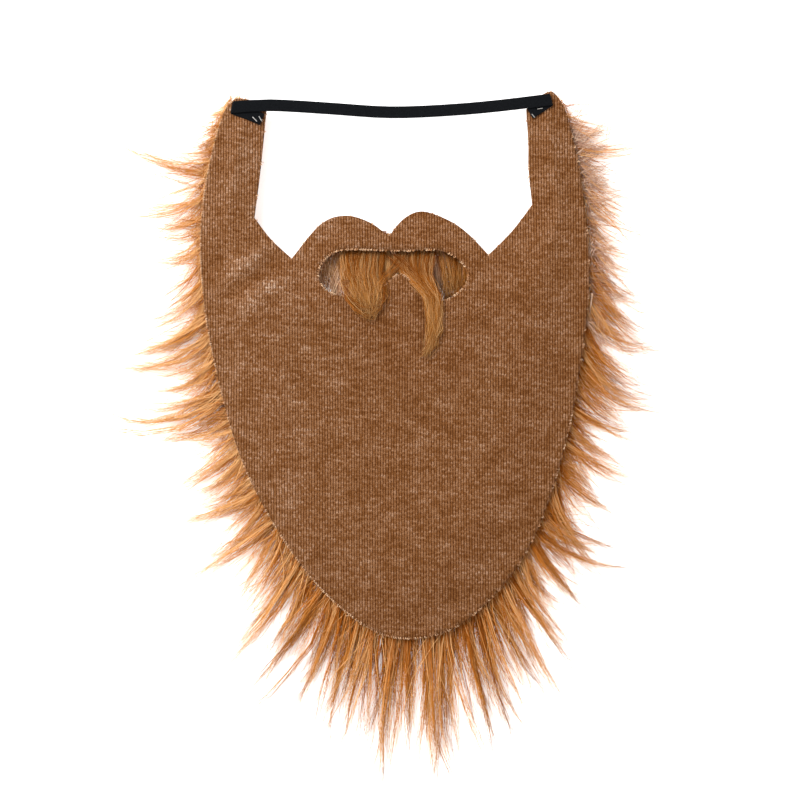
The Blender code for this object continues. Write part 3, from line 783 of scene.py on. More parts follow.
def floor_finish():
    """White paper that glows a little, so that the shadows on it stay faint."""
    finish = Finish("floor_paper", 0.95, Specular_IOR_Level=0.1,
                    Emission_Color=grey(1.0), Emission_Strength=0.5)
    tone = finish.noise(finish.object_place(), scale=12.0)
    finish.set(Base_Color=finish.mixed(tone, grey(0.93), grey(0.95)))
    return finish.material


def smooth_mesh(name, vertices, faces):
    mesh = bpy.data.meshes.new(name)
    mesh.from_pydata(vertices, [], faces)
    mesh.shade_smooth()
    return mesh


def note(mesh, name, values, kind="FLOAT"):
    """Keep a value for each point of the mesh, for its finish or the strand tree."""
    mesh.attributes.new(name, kind, "POINT").data.foreach_set("value", values)


def new_piece(name, mesh, material):
    piece = bpy.data.objects.new(name, mesh)
    bpy.context.scene.collection.objects.link(piece)
    mesh.materials.clear()
    mesh.materials.append(material)
    return piece


def within(places, loop, hole, margin):
    """The places that lie at least margin inside the loop and outside the hole."""
    keep = (loop.depths(places) > margin) & (hole.depths(places) < -margin)
    return [tuple(row) for row in np.asarray(places)[keep]]


def triangulated(loop, hole, lattice):
    """Plan points and triangles of the area inside the loop and outside the hole."""
    points = []
    edges = []
    for line in (loop.corners, hole.corners):
        first = len(points)
        points += [Vector(corner) for corner in line]
        edges += [(first + i, first + (i + 1) % len(line)) for i in range(len(line))]
    points += [Vector(corner) for corner in lattice]
    flat, _, faces, _, _, _ = delaunay_2d_cdt(points, edges, [], 0, 0.0001)
    flat = np.array([tuple(point) for point in flat])
    middles = np.array([flat[list(face)].mean(axis=0) for face in faces])
    inside = (loop.depths(middles) > 0) & (hole.depths(middles) < 0)
    return flat, [face for face, keep in zip(faces, inside) if keep]


def slab(name, flat, faces, tops, bottoms):
    """A closed sheet over the plan points, between the heights tops and bottoms."""
    count = len(flat)
    vertices = [place(x, y, z) for (x, y), z in zip(flat, tops)]
    vertices += [place(x, y, z) for (x, y), z in zip(flat, bottoms)]
    sides = {}
    for face in faces:
        for i, corner in enumerate(face):
            before = face[i - 1]
            if sides.pop((corner, before), None) is None:
                sides[(before, corner)] = True
    polygons = [tuple(face) for face in faces]
    polygons += [tuple(corner + count for corner in reversed(face)) for face in faces]
    polygons += [(end, start, start + count, end + count) for start, end in sides]
    return smooth_mesh(name, vertices, polygons)


def wale_wander(x, y):
    """How far a rib strays sideways as it runs down the cloth."""
    return WALE_WANDER * noise.noise(Vector((x / 34.0, y / 55.0, 0.7)))


def crease_height(x, y):
    """Rise and fall of the few creases in the cloth."""
    height = 0.0
    for x0, y0, x1, y1, rise, half_width in CREASES:
        run_x, run_y = x1 - x0, y1 - y0
        share = ((x - x0) * run_x + (y - y0) * run_y) / (run_x ** 2 + run_y ** 2)
        gap = abs((x - x0) * run_y - (y - y0) * run_x) / math.hypot(run_x, run_y)
        if -0.5 < share < 1.5:
            fall = math.cos(math.pi * (share - 0.5) / 2.0) ** 2
            height += rise * math.exp(-(gap / half_width) ** 2) * fall
    return height


def pucker(x, y):
    """Soft unevenness of the lying cloth, gone under the elastic."""
    swell = noise.noise(Vector((x / 30.0, y / 38.0, 4.2)))
    swell += 0.5 * noise.noise(Vector((x / 12.0, y / 16.0, 9.1)))
    return (PUCKER_HEIGHT * swell + crease_height(x, y)) * smoothstep((PUCKER_TOP_Y - y) / PUCKER_FADE)


def knit_cloth(material):
    """The knitted ground, cut to shape, with its ribs raised."""
    loop = Loop(cloth_outline(EDGE_SAMPLE))
    hole = Loop(smooth_line(MOUTH_EDGE, EDGE_SAMPLE, closed=True))
    low_x, low_y = loop.corners.min(axis=0)
    high_x, high_y = loop.corners.max(axis=0)
    step = WALE / POINTS_PER_WALE
    lattice = []
    first_column = math.floor((low_x + STAND_X) / step)
    last_column = math.ceil((high_x + STAND_X) / step)
    for column in range(first_column, last_column):
        rib_x = column * step - STAND_X
        for row in range(math.ceil((high_y - low_y) / SHEET_ROW)):
            y = low_y + (row + 0.5) * SHEET_ROW
            lattice.append((rib_x + wale_wander(rib_x, y), y))
    flat, faces = triangulated(loop, hole, within(lattice, loop, hole, EDGE_MARGIN))
    wales = np.array([(x - wale_wander(x, y) + STAND_X) / WALE for x, y in flat])
    bottoms = cloth_heights(flat) + np.array([pucker(x, y) for x, y in flat])
    tops = bottoms + CLOTH_THICKNESS - WALE_RELIEF * (0.5 + 0.5 * np.cos(2 * math.pi * wales))
    mesh = slab("knit_cloth", flat, faces, tops, bottoms)
    # Crease heights are kept for the finish, which paints light on their crests and shade in their hollows
    creases = np.array([crease_height(x, y) for x, y in flat])
    for name, values in (("wale", wales), ("crease", creases)):
        note(mesh, name, np.concatenate((values, values)))
    return new_piece("knit_cloth", mesh, material)


def pile_undercoat(material):
    """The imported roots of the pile: a soft mat under the cloth, rounded at its rim."""
    loop = OUTLINE.moved(-UNDERCOAT_INSET)
    hole = MOUTH.moved(UNDERCOAT_INSET)
    lattice = [((column + 0.5 * (row % 2)) * UNDERCOAT_CELL, row * UNDERCOAT_CELL)
               for column in UNDERCOAT_COLUMNS for row in UNDERCOAT_ROWS]
    flat, faces = triangulated(loop, hole, within(lattice, loop, hole, UNDERCOAT_MARGIN))
    inside = smoothstep(np.minimum(loop.depths(flat), -hole.depths(flat)) / UNDERCOAT_RIM)
    uneven = np.array([0.5 * noise.noise(Vector((x / 2.6, y / 9.0, 2.0))) for x, y in flat])
    tops = cloth_heights(flat) - UNDERCOAT_ROOF_GAP + 0.6 * uneven - UNDERCOAT_RIM_FALL * (1 - inside)
    bottoms = UNDERCOAT_LOW + 2.0 * uneven + UNDERCOAT_RIM_RISE * (1 - inside)
    mesh = slab("pile_undercoat", flat, faces, tops, bottoms)
    return new_piece("pile_undercoat", mesh, material)


def strap_seat_height():
    """Lower side of the strap's folded ends: just clear of the highest cloth under them."""
    return max(cloth_height(x, y) for x, y in STAPLE_LEGS) + CLOTH_THICKNESS + TOUCH_GAP


STRAP_SEAT = strap_seat_height()
STRAP_LINE = smooth_line(STRAP_COURSE, STRAP_STATION_STEP)


def strap_fold(along, across, crease_x, crease_angle, side):
    """Fold one end of the flat strap under along its crease.

    Returns the place in plan and the depth below the main run. side is -1
    for the left crease and 1 for the right one.
    """
    normal_x = side * math.sin(math.radians(crease_angle))
    normal_y = -side * math.cos(math.radians(crease_angle))
    past = (along - crease_x) * normal_x + across * normal_y
    if past <= 0:
        return along, across, 0.0
    round_length = math.pi * STRAP_FOLD_RADIUS
    turn = min(past / STRAP_FOLD_RADIUS, math.pi)
    reach = STRAP_FOLD_RADIUS * math.sin(turn) - max(past - round_length, 0.0)
    depth = STRAP_FOLD_RADIUS * (1 - math.cos(turn))
    return along + (reach - past) * normal_x, across + (reach - past) * normal_y, depth


def strap_course_height(x):
    """The y of the strap's middle line at x."""
    if x <= STRAP_LINE[0][0]:
        start, end = STRAP_LINE[0], STRAP_LINE[1]
    elif x >= STRAP_LINE[-1][0]:
        start, end = STRAP_LINE[-2], STRAP_LINE[-1]
    else:
        start, end = next((a, b) for a, b in zip(STRAP_LINE, STRAP_LINE[1:]) if a[0] <= x <= b[0])
    return start[1] + (end[1] - start[1]) * (x - start[0]) / (end[0] - start[0])


def strap_point(along, across):
    """Where a point of the flat strap's middle layer lies."""
    left_crease_x = STRAP_COURSE[0][0]
    right_crease_x = STRAP_COURSE[-1][0]
    if along < (left_crease_x + right_crease_x) / 2:
        x, y, depth = strap_fold(along, across, left_crease_x, STRAP_LEFT_CREASE_ANGLE, -1)
    else:
        x, y, depth = strap_fold(along, across, right_crease_x, STRAP_RIGHT_CREASE_ANGLE, 1)
    top_middle = STRAP_SEAT + STRAP_THICKNESS / 2 + 2 * STRAP_FOLD_RADIUS
    span = (x - LEFT_ARM_INNER_X) / (RIGHT_ARM_INNER_X - LEFT_ARM_INNER_X)
    sag = 0.0
    if 0 < span < 1:
        sag = STRAP_SAG * math.sin(math.pi * span) ** 2
    return Vector((x, y + strap_course_height(x), top_middle - sag - depth))


def strap_stations():
    """Distances along the flat strap, close together round each crease."""
    left = STRAP_COURSE[0][0]
    right = STRAP_COURSE[-1][0]
    slant_left = STRAP_WIDTH / 2 / math.tan(math.radians(STRAP_LEFT_CREASE_ANGLE))
    slant_right = STRAP_WIDTH / 2 / math.tan(math.radians(180 - STRAP_RIGHT_CREASE_ANGLE))
    round_length = math.pi * STRAP_FOLD_RADIUS
    corners = (
        (left - STRAP_LEFT_END_LENGTH, STRAP_ALONG_STEP),
        (left - round_length - slant_left, STRAP_FOLD_STEP),
        (left + slant_left, STRAP_ALONG_STEP),
        (right - slant_right, STRAP_FOLD_STEP),
        (right + round_length + slant_right, STRAP_ALONG_STEP),
        (right + STRAP_RIGHT_END_LENGTH, STRAP_ALONG_STEP),
    )
    stations = []
    for (start, step), (end, _) in zip(corners, corners[1:]):
        pieces = math.ceil((end - start) / step)
        stations += [start + (end - start) * piece / pieces for piece in range(pieces)]
    return stations + [corners[-1][0]]


def strap_half_thickness(across):
    """Half the strap's thickness: ribbed across, and thinner at its selvedges."""
    share = abs(across) / (STRAP_WIDTH / 2)
    rib = 0.5 + 0.5 * math.cos(2 * math.pi * STRAP_RIBS * across / STRAP_WIDTH)
    return STRAP_THICKNESS / 2 * (1 - STRAP_SELVEDGE_THINNING * share ** 8) - STRAP_RIB_RELIEF * (1 - rib)


def elastic_band(material):
    """The braided elastic with its ends folded under."""
    stations = strap_stations()
    columns = STRAP_RIBS * POINTS_PER_RIB
    acrosses = [(column / columns - 0.5) * STRAP_WIDTH for column in range(columns + 1)]
    nudge = STRAP_SLOPE_STEP
    upper = []
    lower = []
    places = []
    for along in stations:
        for across in acrosses:
            middle = strap_point(along, across)
            run = strap_point(along + nudge, across) - strap_point(along - nudge, across)
            width = strap_point(along, across + nudge) - strap_point(along, across - nudge)
            out = run.cross(width).normalized() * strap_half_thickness(across)
            upper.append(place(*(middle + out)))
            lower.append(place(*(middle - out)))
            places.append((along, across))
    row = columns + 1
    count = len(upper)
    faces = []
    for i in range(len(stations) - 1):
        for j in range(columns):
            a, b, c, d = i * row + j, (i + 1) * row + j, (i + 1) * row + j + 1, i * row + j + 1
            faces += [(a, b, c, d), (a + count, d + count, c + count, b + count)]
    border = list(range(row)) + [i * row + columns for i in range(1, len(stations))]
    border += [(len(stations) - 1) * row + j for j in range(columns - 1, -1, -1)]
    border += [i * row for i in range(len(stations) - 2, 0, -1)]
    for i, start in enumerate(border):
        end = border[(i + 1) % len(border)]
        faces.append((start, end, end + count, start + count))
    mesh = smooth_mesh("elastic_band", upper + lower, faces)
    for name, column in (("along_mm", 0), ("across_mm", 1)):
        note(mesh, name, [spot[column] for spot in places] * 2)
    return new_piece("elastic_band", mesh, material)


# Inputs of the strand tree, in metres: name, kind and value where a piece gives none
STRAND_INPUTS = (
    ("Clumps", "NodeSocketInt", 3),
    ("Clumping", "NodeSocketFloat", 0.6),
    ("Frizz", "NodeSocketFloat", 0.002),
    ("Frizz size", "NodeSocketFloat", 40.0),
    ("Untidiness", "NodeSocketFloat", 0.02),
    ("Length variation", "NodeSocketFloat", 0.35),
    ("Tone variation", "NodeSocketFloat", 0.9),
    ("Root radius", "NodeSocketFloat", 0.00008),
    ("Tip radius", "NodeSocketFloat", 0.00002),
    ("Sides", "NodeSocketInt", 3),
    ("Floor", "NodeSocketFloat", 0.00015),
    ("Seed", "NodeSocketInt", 1),
    ("Material", "NodeSocketMaterial", None),
)


def strand_tree():
    """Geometry Nodes that grow tapering strands round guide lines.

    Each guide is a run of mesh edges whose points carry spread and rise, the
    half width and half height of the wisp there, along, from root to tip,
    shade, and the number of strands.
    """
    tree = bpy.data.node_groups.new("strands_round_guides", "GeometryNodeTree")
    tree.interface.new_socket("Guides", in_out="INPUT", socket_type="NodeSocketGeometry")
    for name, kind, value in STRAND_INPUTS:
        socket = tree.interface.new_socket(name, in_out="INPUT", socket_type=kind)
        if value is not None:
            socket.default_value = value
    tree.interface.new_socket("Strands", in_out="OUTPUT", socket_type="NodeSocketGeometry")
    graph = Graph(tree)
    entry = graph.node("NodeGroupInput")

    def given(name):
        return entry.other(name)

    def named(name, kind="FLOAT"):
        return graph.node("GeometryNodeInputNamedAttribute", {"data_type": kind}, {"Name": name})

    def stored(geometry, name, value, domain="CURVE"):
        return graph.node("GeometryNodeStoreNamedAttribute", {"data_type": "FLOAT", "domain": domain},
                          {"Geometry": geometry, "Name": name, "Value": value})

    def chance(salt, identity):
        return graph.node("FunctionNodeRandomValue", {"data_type": "FLOAT"},
                          {7: identity, 8: given("Seed") + salt}, output=1)

    index = graph.node("GeometryNodeInputIndex")
    curves = graph.node("GeometryNodeMeshToCurve", {}, {0: given("Guides")})
    curves = stored(curves, "guide", index)
    curves = graph.node("GeometryNodeDuplicateElements", {"domain": "SPLINE"},
                        {"Geometry": curves, "Amount": named("strands", "INT")})
    clump = named("guide") * given("Clumps") + graph.math("FLOOR", chance(5, index) * given("Clumps"))
    for name, value in (
            ("turn", chance(1, index) * (2 * math.pi)),
            ("reach", chance(2, index) ** 0.5),
            ("length", 1.0 - chance(3, index) ** 2.2 * given("Length variation")),
            ("tone", chance(4, index) - 0.5),
            ("thickness", chance(9, index) * 0.9 + 0.55),
            ("clump_turn", chance(6, clump) * (2 * math.pi)),
            ("clump_reach", chance(7, clump) ** 0.5),
            ("clump_tone", chance(8, clump) - 0.5)):
        curves = stored(curves, name, value)

    share = graph.node("GeometryNodeSplineParameter")
    tangent = graph.node("GeometryNodeInputTangent")
    side = graph.vector_math("NORMALIZE", graph.vector_math("CROSS_PRODUCT", tangent, (0.0, 0.0, 1.0)))
    up = graph.vector_math("CROSS_PRODUCT", side, tangent)
    pull = given("Clumping") * named("along") ** 1.1
    own_side = graph.math("COSINE", named("turn")) * named("reach")
    own_up = graph.math("SINE", named("turn")) * named("reach")
    clump_side = graph.math("COSINE", named("clump_turn")) * named("clump_reach")
    clump_up = graph.math("SINE", named("clump_turn")) * named("clump_reach")
    sideways = (own_side + (clump_side - own_side) * pull) * named("spread")
    upward = (own_up + (clump_up - own_up) * pull) * named("rise")
    offset = graph.vector_math("ADD", graph.scaled(side, sideways), graph.scaled(up, upward))
    here = graph.node("GeometryNodeInputPosition")
    own_place = graph.combined(named("clump_turn"), named("clump_reach") * 7.0,
                               named("tone") * given("Untidiness"))
    wave = graph.node("ShaderNodeTexNoise", {"noise_dimensions": "3D"},
                      {"Vector": graph.vector_math("ADD", here, own_place), "Scale": given("Frizz size"),
                       "Detail": 2.0}, output=1)
    wave = graph.scaled(graph.vector_math("SUBTRACT", wave, (0.5, 0.5, 0.5)), given("Frizz") * share)
    target = graph.vector_math("ADD", graph.vector_math("ADD", here, offset), wave)
    x, y, z = graph.parts(target)
    curves = graph.node("GeometryNodeSetPosition", {}, {
        "Geometry": curves, "Position": graph.combined(x, y, graph.math("MAXIMUM", z, given("Floor")))})
    curves = graph.node("GeometryNodeTrimCurve", {"mode": "FACTOR"}, {0: curves, 3: named("length")})
    curves = stored(curves, "along", named("along") * 0.65 + share * share * 0.35, "POINT")
    tones = named("tone") * given("Tone variation") + named("clump_tone") * 0.8
    curves = stored(curves, "shade", named("shade") + tones, "POINT")
    taper = given("Root radius") + (given("Tip radius") - given("Root radius")) * share ** 1.1
    radius = taper * named("thickness")
    profile = graph.node("GeometryNodeCurvePrimitiveCircle", {"mode": "RADIUS"},
                         {"Resolution": given("Sides"), "Radius": 1.0})
    strands = graph.node("GeometryNodeCurveToMesh", {}, {
        "Curve": curves, "Profile Curve": profile, "Scale": radius, "Fill Caps": True})
    strands = graph.node("GeometryNodeSetShadeSmooth", {}, {0: strands})
    strands = graph.node("GeometryNodeRealizeInstances", {}, {0: strands})
    strands = graph.node("GeometryNodeSetMaterial", {}, {"Geometry": strands, "Material": given("Material")})
    leaving = tree.nodes.new("NodeGroupOutput")
    tree.links.new(strands.socket, leaving.inputs[0])
    return tree


STRANDS = strand_tree()
# The strands' attributes that a finish reads or that the mesh itself needs
KEPT_ATTRIBUTES = ("along", "shade", "sharp_face", "material_index")


def guide_mesh(name, guides):
    """Guide lines as runs of edges.

    A guide is its rows, its strand count and its shade. Each row is x, y, z, spread, rise and along.
    """
    vertices = []
    edges = []
    columns = {"spread": [], "rise": [], "along": [], "shade": []}
    counts = []
    for rows, strands, shade in guides:
        first = len(vertices)
        edges += [(first + i, first + i + 1) for i in range(len(rows) - 1)]
        for x, y, z, spread, rise, along in rows:
            vertices.append(place(x, y, z))
            columns["spread"].append(spread * MM)
            columns["rise"].append(rise * MM)
            columns["along"].append(along)
            columns["shade"].append(shade)
            counts.append(strands)
    mesh = bpy.data.meshes.new(name)
    mesh.from_pydata(vertices, edges, [])
    for column, values in columns.items():
        note(mesh, column, values)
    note(mesh, "strands", counts, "INT")
    return mesh


def grown(name, guides, material, slot, **sizes):
    """Strands round the guides, as one plain mesh. The sizes are the tree's inputs by name."""
    carrier = bpy.data.objects.new(name + "_guides", guide_mesh(name + "_guides", guides))
    bpy.context.scene.collection.objects.link(carrier)
    modifier = carrier.modifiers.new("strands", "NODES")
    modifier.node_group = STRANDS
    values = {label.replace("_", " "): value for label, value in sizes.items()}
    values["Material"] = material
    for item in STRANDS.interface.items_tree:
        if item.in_out == "INPUT" and item.name in values:
            modifier[item.identifier] = values[item.name]
    graph = bpy.context.evaluated_depsgraph_get()
    mesh = bpy.data.meshes.new_from_object(carrier.evaluated_get(graph))
    mesh.name = name
    carrier.modifiers.remove(modifier)
    bpy.data.objects.remove(carrier)
    for attribute in list(mesh.attributes):
        if not (attribute.is_internal or attribute.is_required or attribute.name in KEPT_ATTRIBUTES):
            mesh.attributes.remove(attribute)
    return new_piece(name, mesh, material)


OUTER_LINE = smooth_line(OUTER_EDGE, OUTLINE_STEP)


def outer_edge_point(distance):
    """The point a distance along the outer edge from the left arm's end."""
    for start, end in zip(OUTER_LINE, OUTER_LINE[1:]):
        length = math.dist(start[:2], end[:2])
        if distance <= length:
            share = distance / length
            return Vector((start[0] + share * (end[0] - start[0]), start[1] + share * (end[1] - start[1])))
        distance -= length
    return Vector(OUTER_LINE[-1][:2])


OUTER_LENGTH = sum(math.dist(a[:2], b[:2]) for a, b in zip(OUTER_LINE, OUTER_LINE[1:]))


def bearing_way(bearing):
    return Vector((math.cos(math.radians(bearing)), math.sin(math.radians(bearing))))


def lock_line(start, bearing, reach, curl, shares):
    """Points of an arc from start whose chord has the bearing and the reach."""
    steps = 20
    points = [Vector((0.0, 0.0))]
    for i in range(steps):
        points.append(points[-1] + bearing_way(bearing + curl * ((i + 0.5) / steps - 0.5)))
    scale = reach / points[-1].length
    return [start + points[round(share * steps)] * scale for share in shares]


def wisp(start, bearing, reach, curl, half_width, lift, tip_lift):
    """Guide rows of one wisp past the edge, with its root under the cloth.

    lift is the share of the edge's height where it leaves the cloth, and tip_lift the tip's height.
    """
    sideways = math.cos(math.radians(bearing))
    side_room = FARTHEST_RIGHT - start.x if sideways > 0 else start.x - FARTHEST_LEFT
    reach = min(reach, side_room / max(abs(sideways), 0.2))
    line = lock_line(start, bearing, reach, curl, WISP_SHARES)
    root_way = bearing_way(bearing - curl / 2)
    high = edge_height(start.y)
    room = min(max((ARM_END_Y - start.y) / ROOT_ROOM, 0.2), 1.0)
    rows = []
    for back in WISP_ROOTS:
        point = start - root_way * back * room
        share = back / WISP_ROOTS[0]
        z = lift * high * (1 - share) + (cloth_height(point.x, point.y) - WISP_ROOT_DEPTH) * share
        rows.append((point.x, point.y, z, half_width * 1.15, min(2.4, high * 0.25), 0.0))
    for share, point in zip(WISP_SHARES, line):
        z = tip_lift + (lift * high - tip_lift) * (1 - share) ** 1.7
        spread = half_width * (1 - 0.25 * share)
        rise = 0.4 + high * 0.28 * (1 - share) ** 1.5
        rows.append((point.x, point.y, z, spread, rise, share))
    return rows


def fringe_density(distance):
    """How thickly the fringe grows there, as a share of its usual strands."""
    return float(np.interp(distance, *zip(*FRINGE_DENSITY)))


def side_paling(start):
    """How much paler the pile is made: painted light on the left side, where the key light falls, and paler
    beside the right arm.
    """
    left = smoothstep((-start.x - 30.0) / 50.0)
    arm = smoothstep((start.y - 85.0) / 20.0)
    return SIDE_PALING * float(max(left, arm))


def lock_wisps(luck, distance, bearing, reach, width, curl):
    """The wisps of one lock, which lean together towards its tip."""
    middle = outer_edge_point(distance)
    guides = []
    density = fringe_density(distance)
    for share in WISP_REACHES:
        start_distance = distance + luck.uniform(-0.8, 0.8) * width
        start = outer_edge_point(min(max(start_distance, 0.0), OUTER_LENGTH))
        tip = lock_line(middle, bearing, min(reach * share, LONGEST_HAIR - 3.0), curl, (1.0,))[0]
        tip += (start - middle) * luck.uniform(0.1, 0.75)
        chord = tip - start
        own_bearing = math.degrees(math.atan2(chord.y, chord.x))
        height = luck.random()
        rows = wisp(start, own_bearing, chord.length, curl * CURL_GAIN + luck.uniform(-24.0, 24.0),
                    width * luck.uniform(0.12, 0.24), 0.25 + 0.5 * height, 0.7 + 3.5 * height)
        strands = STRANDS_PER_WISP * min(width / USUAL_LOCK_WIDTH, 1.1) * luck.uniform(0.75, 1.25) * density
        # Lower wisps get painted shade and higher ones painted light, besides their own random tone
        shade = 0.75 - 0.5 * height + luck.uniform(-0.25, 0.25) - side_paling(start)
        guides.append((rows, max(FEWEST_STRANDS, round(strands)), shade))
    return guides


def between_locks(distance):
    """Bearing and reach of the fringe at a distance along the edge, from the locks on both sides."""
    if distance <= LOCKS[0][0]:
        return LOCKS[0][1], LOCKS[0][2]
    for before, after in zip(LOCKS, LOCKS[1:]):
        if before[0] <= distance <= after[0]:
            share = (distance - before[0]) / (after[0] - before[0])
            turn = (after[1] - before[1] + 180) % 360 - 180
            return before[1] + turn * share, before[2] + (after[2] - before[2]) * share
    return LOCKS[-1][1], LOCKS[-1][2]


def filler_wisps(luck, start, end):
    """Shorter wisps in the gaps between the locks, which turn a little towards the chin."""
    guides = []
    for step in range(round((end - start) / FILLER_STEP)):
        distance = start + (step + luck.random()) * FILLER_STEP
        bearing, reach = between_locks(distance)
        density = fringe_density(distance)
        droop = (270.0 - bearing + 180.0) % 360.0 - 180.0
        root = outer_edge_point(distance)
        rows = wisp(root, bearing + droop * luck.uniform(0.1, 0.5) + luck.uniform(-10.0, 10.0),
                    7.0 + reach * luck.uniform(0.08, 0.35 + 0.45 * density),
                    -0.55 * droop + luck.uniform(-15.0, 15.0),
                    luck.uniform(1.6, 2.8), luck.uniform(0.2, 0.75), luck.uniform(0.6, 2.5))
        strands = round(STRANDS_PER_FILLER * luck.uniform(0.7, 1.3) * density)
        guides.append((rows, strands, luck.uniform(0.25, 0.75) - side_paling(root)))
    return guides


def flyaway_hairs(luck, start, end):
    """Hairs that stray from the fringe alone or in twos."""
    guides = []
    for _ in range(round(FLYAWAYS * (end - start) / OUTER_LENGTH)):
        distance = luck.uniform(start, end)
        bearing, reach = between_locks(distance)
        rows = wisp(outer_edge_point(distance), bearing + luck.uniform(-30.0, 30.0),
                    min(reach * luck.uniform(0.5, 1.2) + 5.0, LONGEST_HAIR), luck.uniform(-55.0, 55.0),
                    0.8, luck.uniform(0.3, 0.8), luck.uniform(1.0, 6.0))
        guides.append((rows, luck.choice((1, 1, 2)), luck.uniform(0.0, 0.5)))
    return guides


def fringe(name, start, end, clumping, seed, material):
    """The fringe between two distances along the outer edge."""
    luck = random.Random(seed)
    guides = []
    for distance, bearing, reach, width, curl in LOCKS:
        if start <= distance < end:
            guides += lock_wisps(luck, distance, bearing, reach, width, curl)
    guides += filler_wisps(luck, start, end)
    guides += flyaway_hairs(luck, start, end)
    return grown(name, guides, material, "long_pile", Clumps=3, Clumping=clumping, Frizz=0.017,
                 Frizz_size=27.0, Untidiness=0.045, Length_variation=0.6,
                 Root_radius=0.00017, Tip_radius=0.00003, Seed=seed)


def fluff(name, start, end, count, reaches, straying, seed, material):
    """Short soft hair close to the edge, between two distances along it.

    straying is how many degrees its bearing and its curl may differ from the fringe there.
    """
    luck = random.Random(seed)
    guides = []
    for _ in range(count):
        distance = luck.uniform(start, end)
        bearing, _ = between_locks(distance)
        rows = wisp(outer_edge_point(distance), bearing + luck.uniform(-straying, straying),
                    luck.uniform(*reaches), luck.uniform(-straying, straying),
                    2.6, luck.uniform(0.3, 0.8), luck.uniform(1.0, 5.0))
        guides.append((rows[1:], FLUFF_STRANDS, luck.uniform(0.2, 0.6)))
    return grown(name, guides, material, "long_pile", Clumps=4, Clumping=0.3, Frizz=0.012,
                 Frizz_size=95.0, Untidiness=0.06, Length_variation=0.7,
                 Root_radius=0.00013, Tip_radius=0.00004, Seed=seed)


def nap_line(x, y, length):
    """Guide rows of pile that lies under the cloth, up to where an edge of the mask stops it."""
    way = bearing_way(270.0 + NAP_FAN_ANGLE * min(max(x / 95.0, -1.0), 1.0))
    steps = np.arange(1, int(length / NAP_STEP) + 1) * NAP_STEP
    places = np.array((x, y)) + steps[:, None] * np.array(way)
    depths = OUTLINE.depths(places)
    inner = (places[:, 1] > INNER_EDGES_LOW_Y) & (np.abs(places[:, 0]) < INNER_EDGES_HALF_WIDTH)
    barred = (MOUTH.depths(places) > -2.0) | (inner & (depths < 1.5)) | (depths < -4.0)
    reach = float(steps[-1])
    if barred.any():
        reach = float(barred.argmax()) * NAP_STEP
    if reach < NAP_LEAST:
        return None
    points = [Vector((x, y)) + way * reach * share for share in NAP_SHARES]
    highs = cloth_heights([tuple(point) for point in points]) - NAP_ROOT_DEPTH
    rows = []
    for share, point, high in zip(NAP_SHARES, points, highs):
        z = min(high * (1 - share) ** 1.8 + NAP_TIP_HEIGHT, high)
        rows.append((point.x, point.y, z, 3.6 * (1 - 0.6 * share), 1.1, share * 0.6))
    return rows


def pile_nap(material):
    """The pile itself, pressed flat under the cloth."""
    luck = random.Random(41)
    starts = [((column + luck.uniform(-NAP_SCATTER, NAP_SCATTER)) * NAP_CELL,
               (row + luck.uniform(-NAP_SCATTER, NAP_SCATTER)) * NAP_CELL)
              for column in NAP_COLUMNS for row in NAP_ROWS]
    guides = []
    for x, y in within(starts, OUTLINE, MOUTH, NAP_EDGE_MARGIN):
        rows = nap_line(x, y, luck.uniform(*NAP_LENGTHS))
        if rows:
            guides.append((rows, NAP_STRANDS, luck.uniform(0.3, 0.7)))
    return grown("pile_nap", guides, material, "long_pile", Clumps=3, Clumping=0.6, Frizz=0.002,
                 Frizz_size=45.0, Length_variation=0.3, Root_radius=0.00022, Tip_radius=0.00008, Seed=41)


def fan_guides(luck, count, strands, crossing, shade, rows):
    """Guides that fall side by side between a fan's two borders, and cross on the way."""
    guides = []
    step = 1.0 / count
    for number in range(count):
        start = (number + luck.random()) * step
        end = min(max(start + luck.uniform(-crossing, crossing), 0.0), 1.0)
        stop = len(rows) - (1 if luck.random() < 0.3 else 0)
        lines = []
        for i, (y, left, right, lift) in enumerate(rows[:stop]):
            along = i / (len(rows) - 1)
            x = left + (right - left) * (start + (end - start) * along)
            spread = 1.5 * step * abs(right - left) + 0.35
            lift += luck.uniform(-0.25, 0.35)
            lines.append((x, y, cloth_height(x, y) + lift, spread, min(0.5 * spread + 0.4, 1.1), along))
        guides.append((lines, round(strands * luck.uniform(0.7, 1.3)), shade + luck.uniform(-0.25, 0.25)))
    return guides


def mouth_veil(material):
    """Thin pale hair low behind the mouth hole."""
    luck = random.Random(29)
    guides = []
    for _ in range(VEIL_GUIDES):
        x = luck.uniform(*VEIL_SPAN)
        fall = luck.uniform(*VEIL_FALLS)
        lean = luck.uniform(-VEIL_LEAN, VEIL_LEAN)
        sinking = luck.uniform(*VEIL_TIP_DEPTHS) - VEIL_ROOT_DEPTH
        top = cloth_height(x, VEIL_TOP_Y) - VEIL_ROOT_DEPTH
        lines = [(x + lean * fall * share, VEIL_TOP_Y - fall * share, top - sinking * share,
                  2.6, 1.2, share * 0.8) for share in NAP_SHARES]
        shade = 0.1 + 0.6 * smoothstep((x + 25.0) / 20.0) + luck.uniform(-0.2, 0.2)
        guides.append((lines, VEIL_STRANDS, shade))
    return grown("mouth_veil", guides, material, "long_pile", Clumps=4, Clumping=0.2, Frizz=0.010,
                 Frizz_size=90.0, Untidiness=0.07, Length_variation=0.3,
                 Root_radius=0.00019, Tip_radius=0.00014, Seed=9)


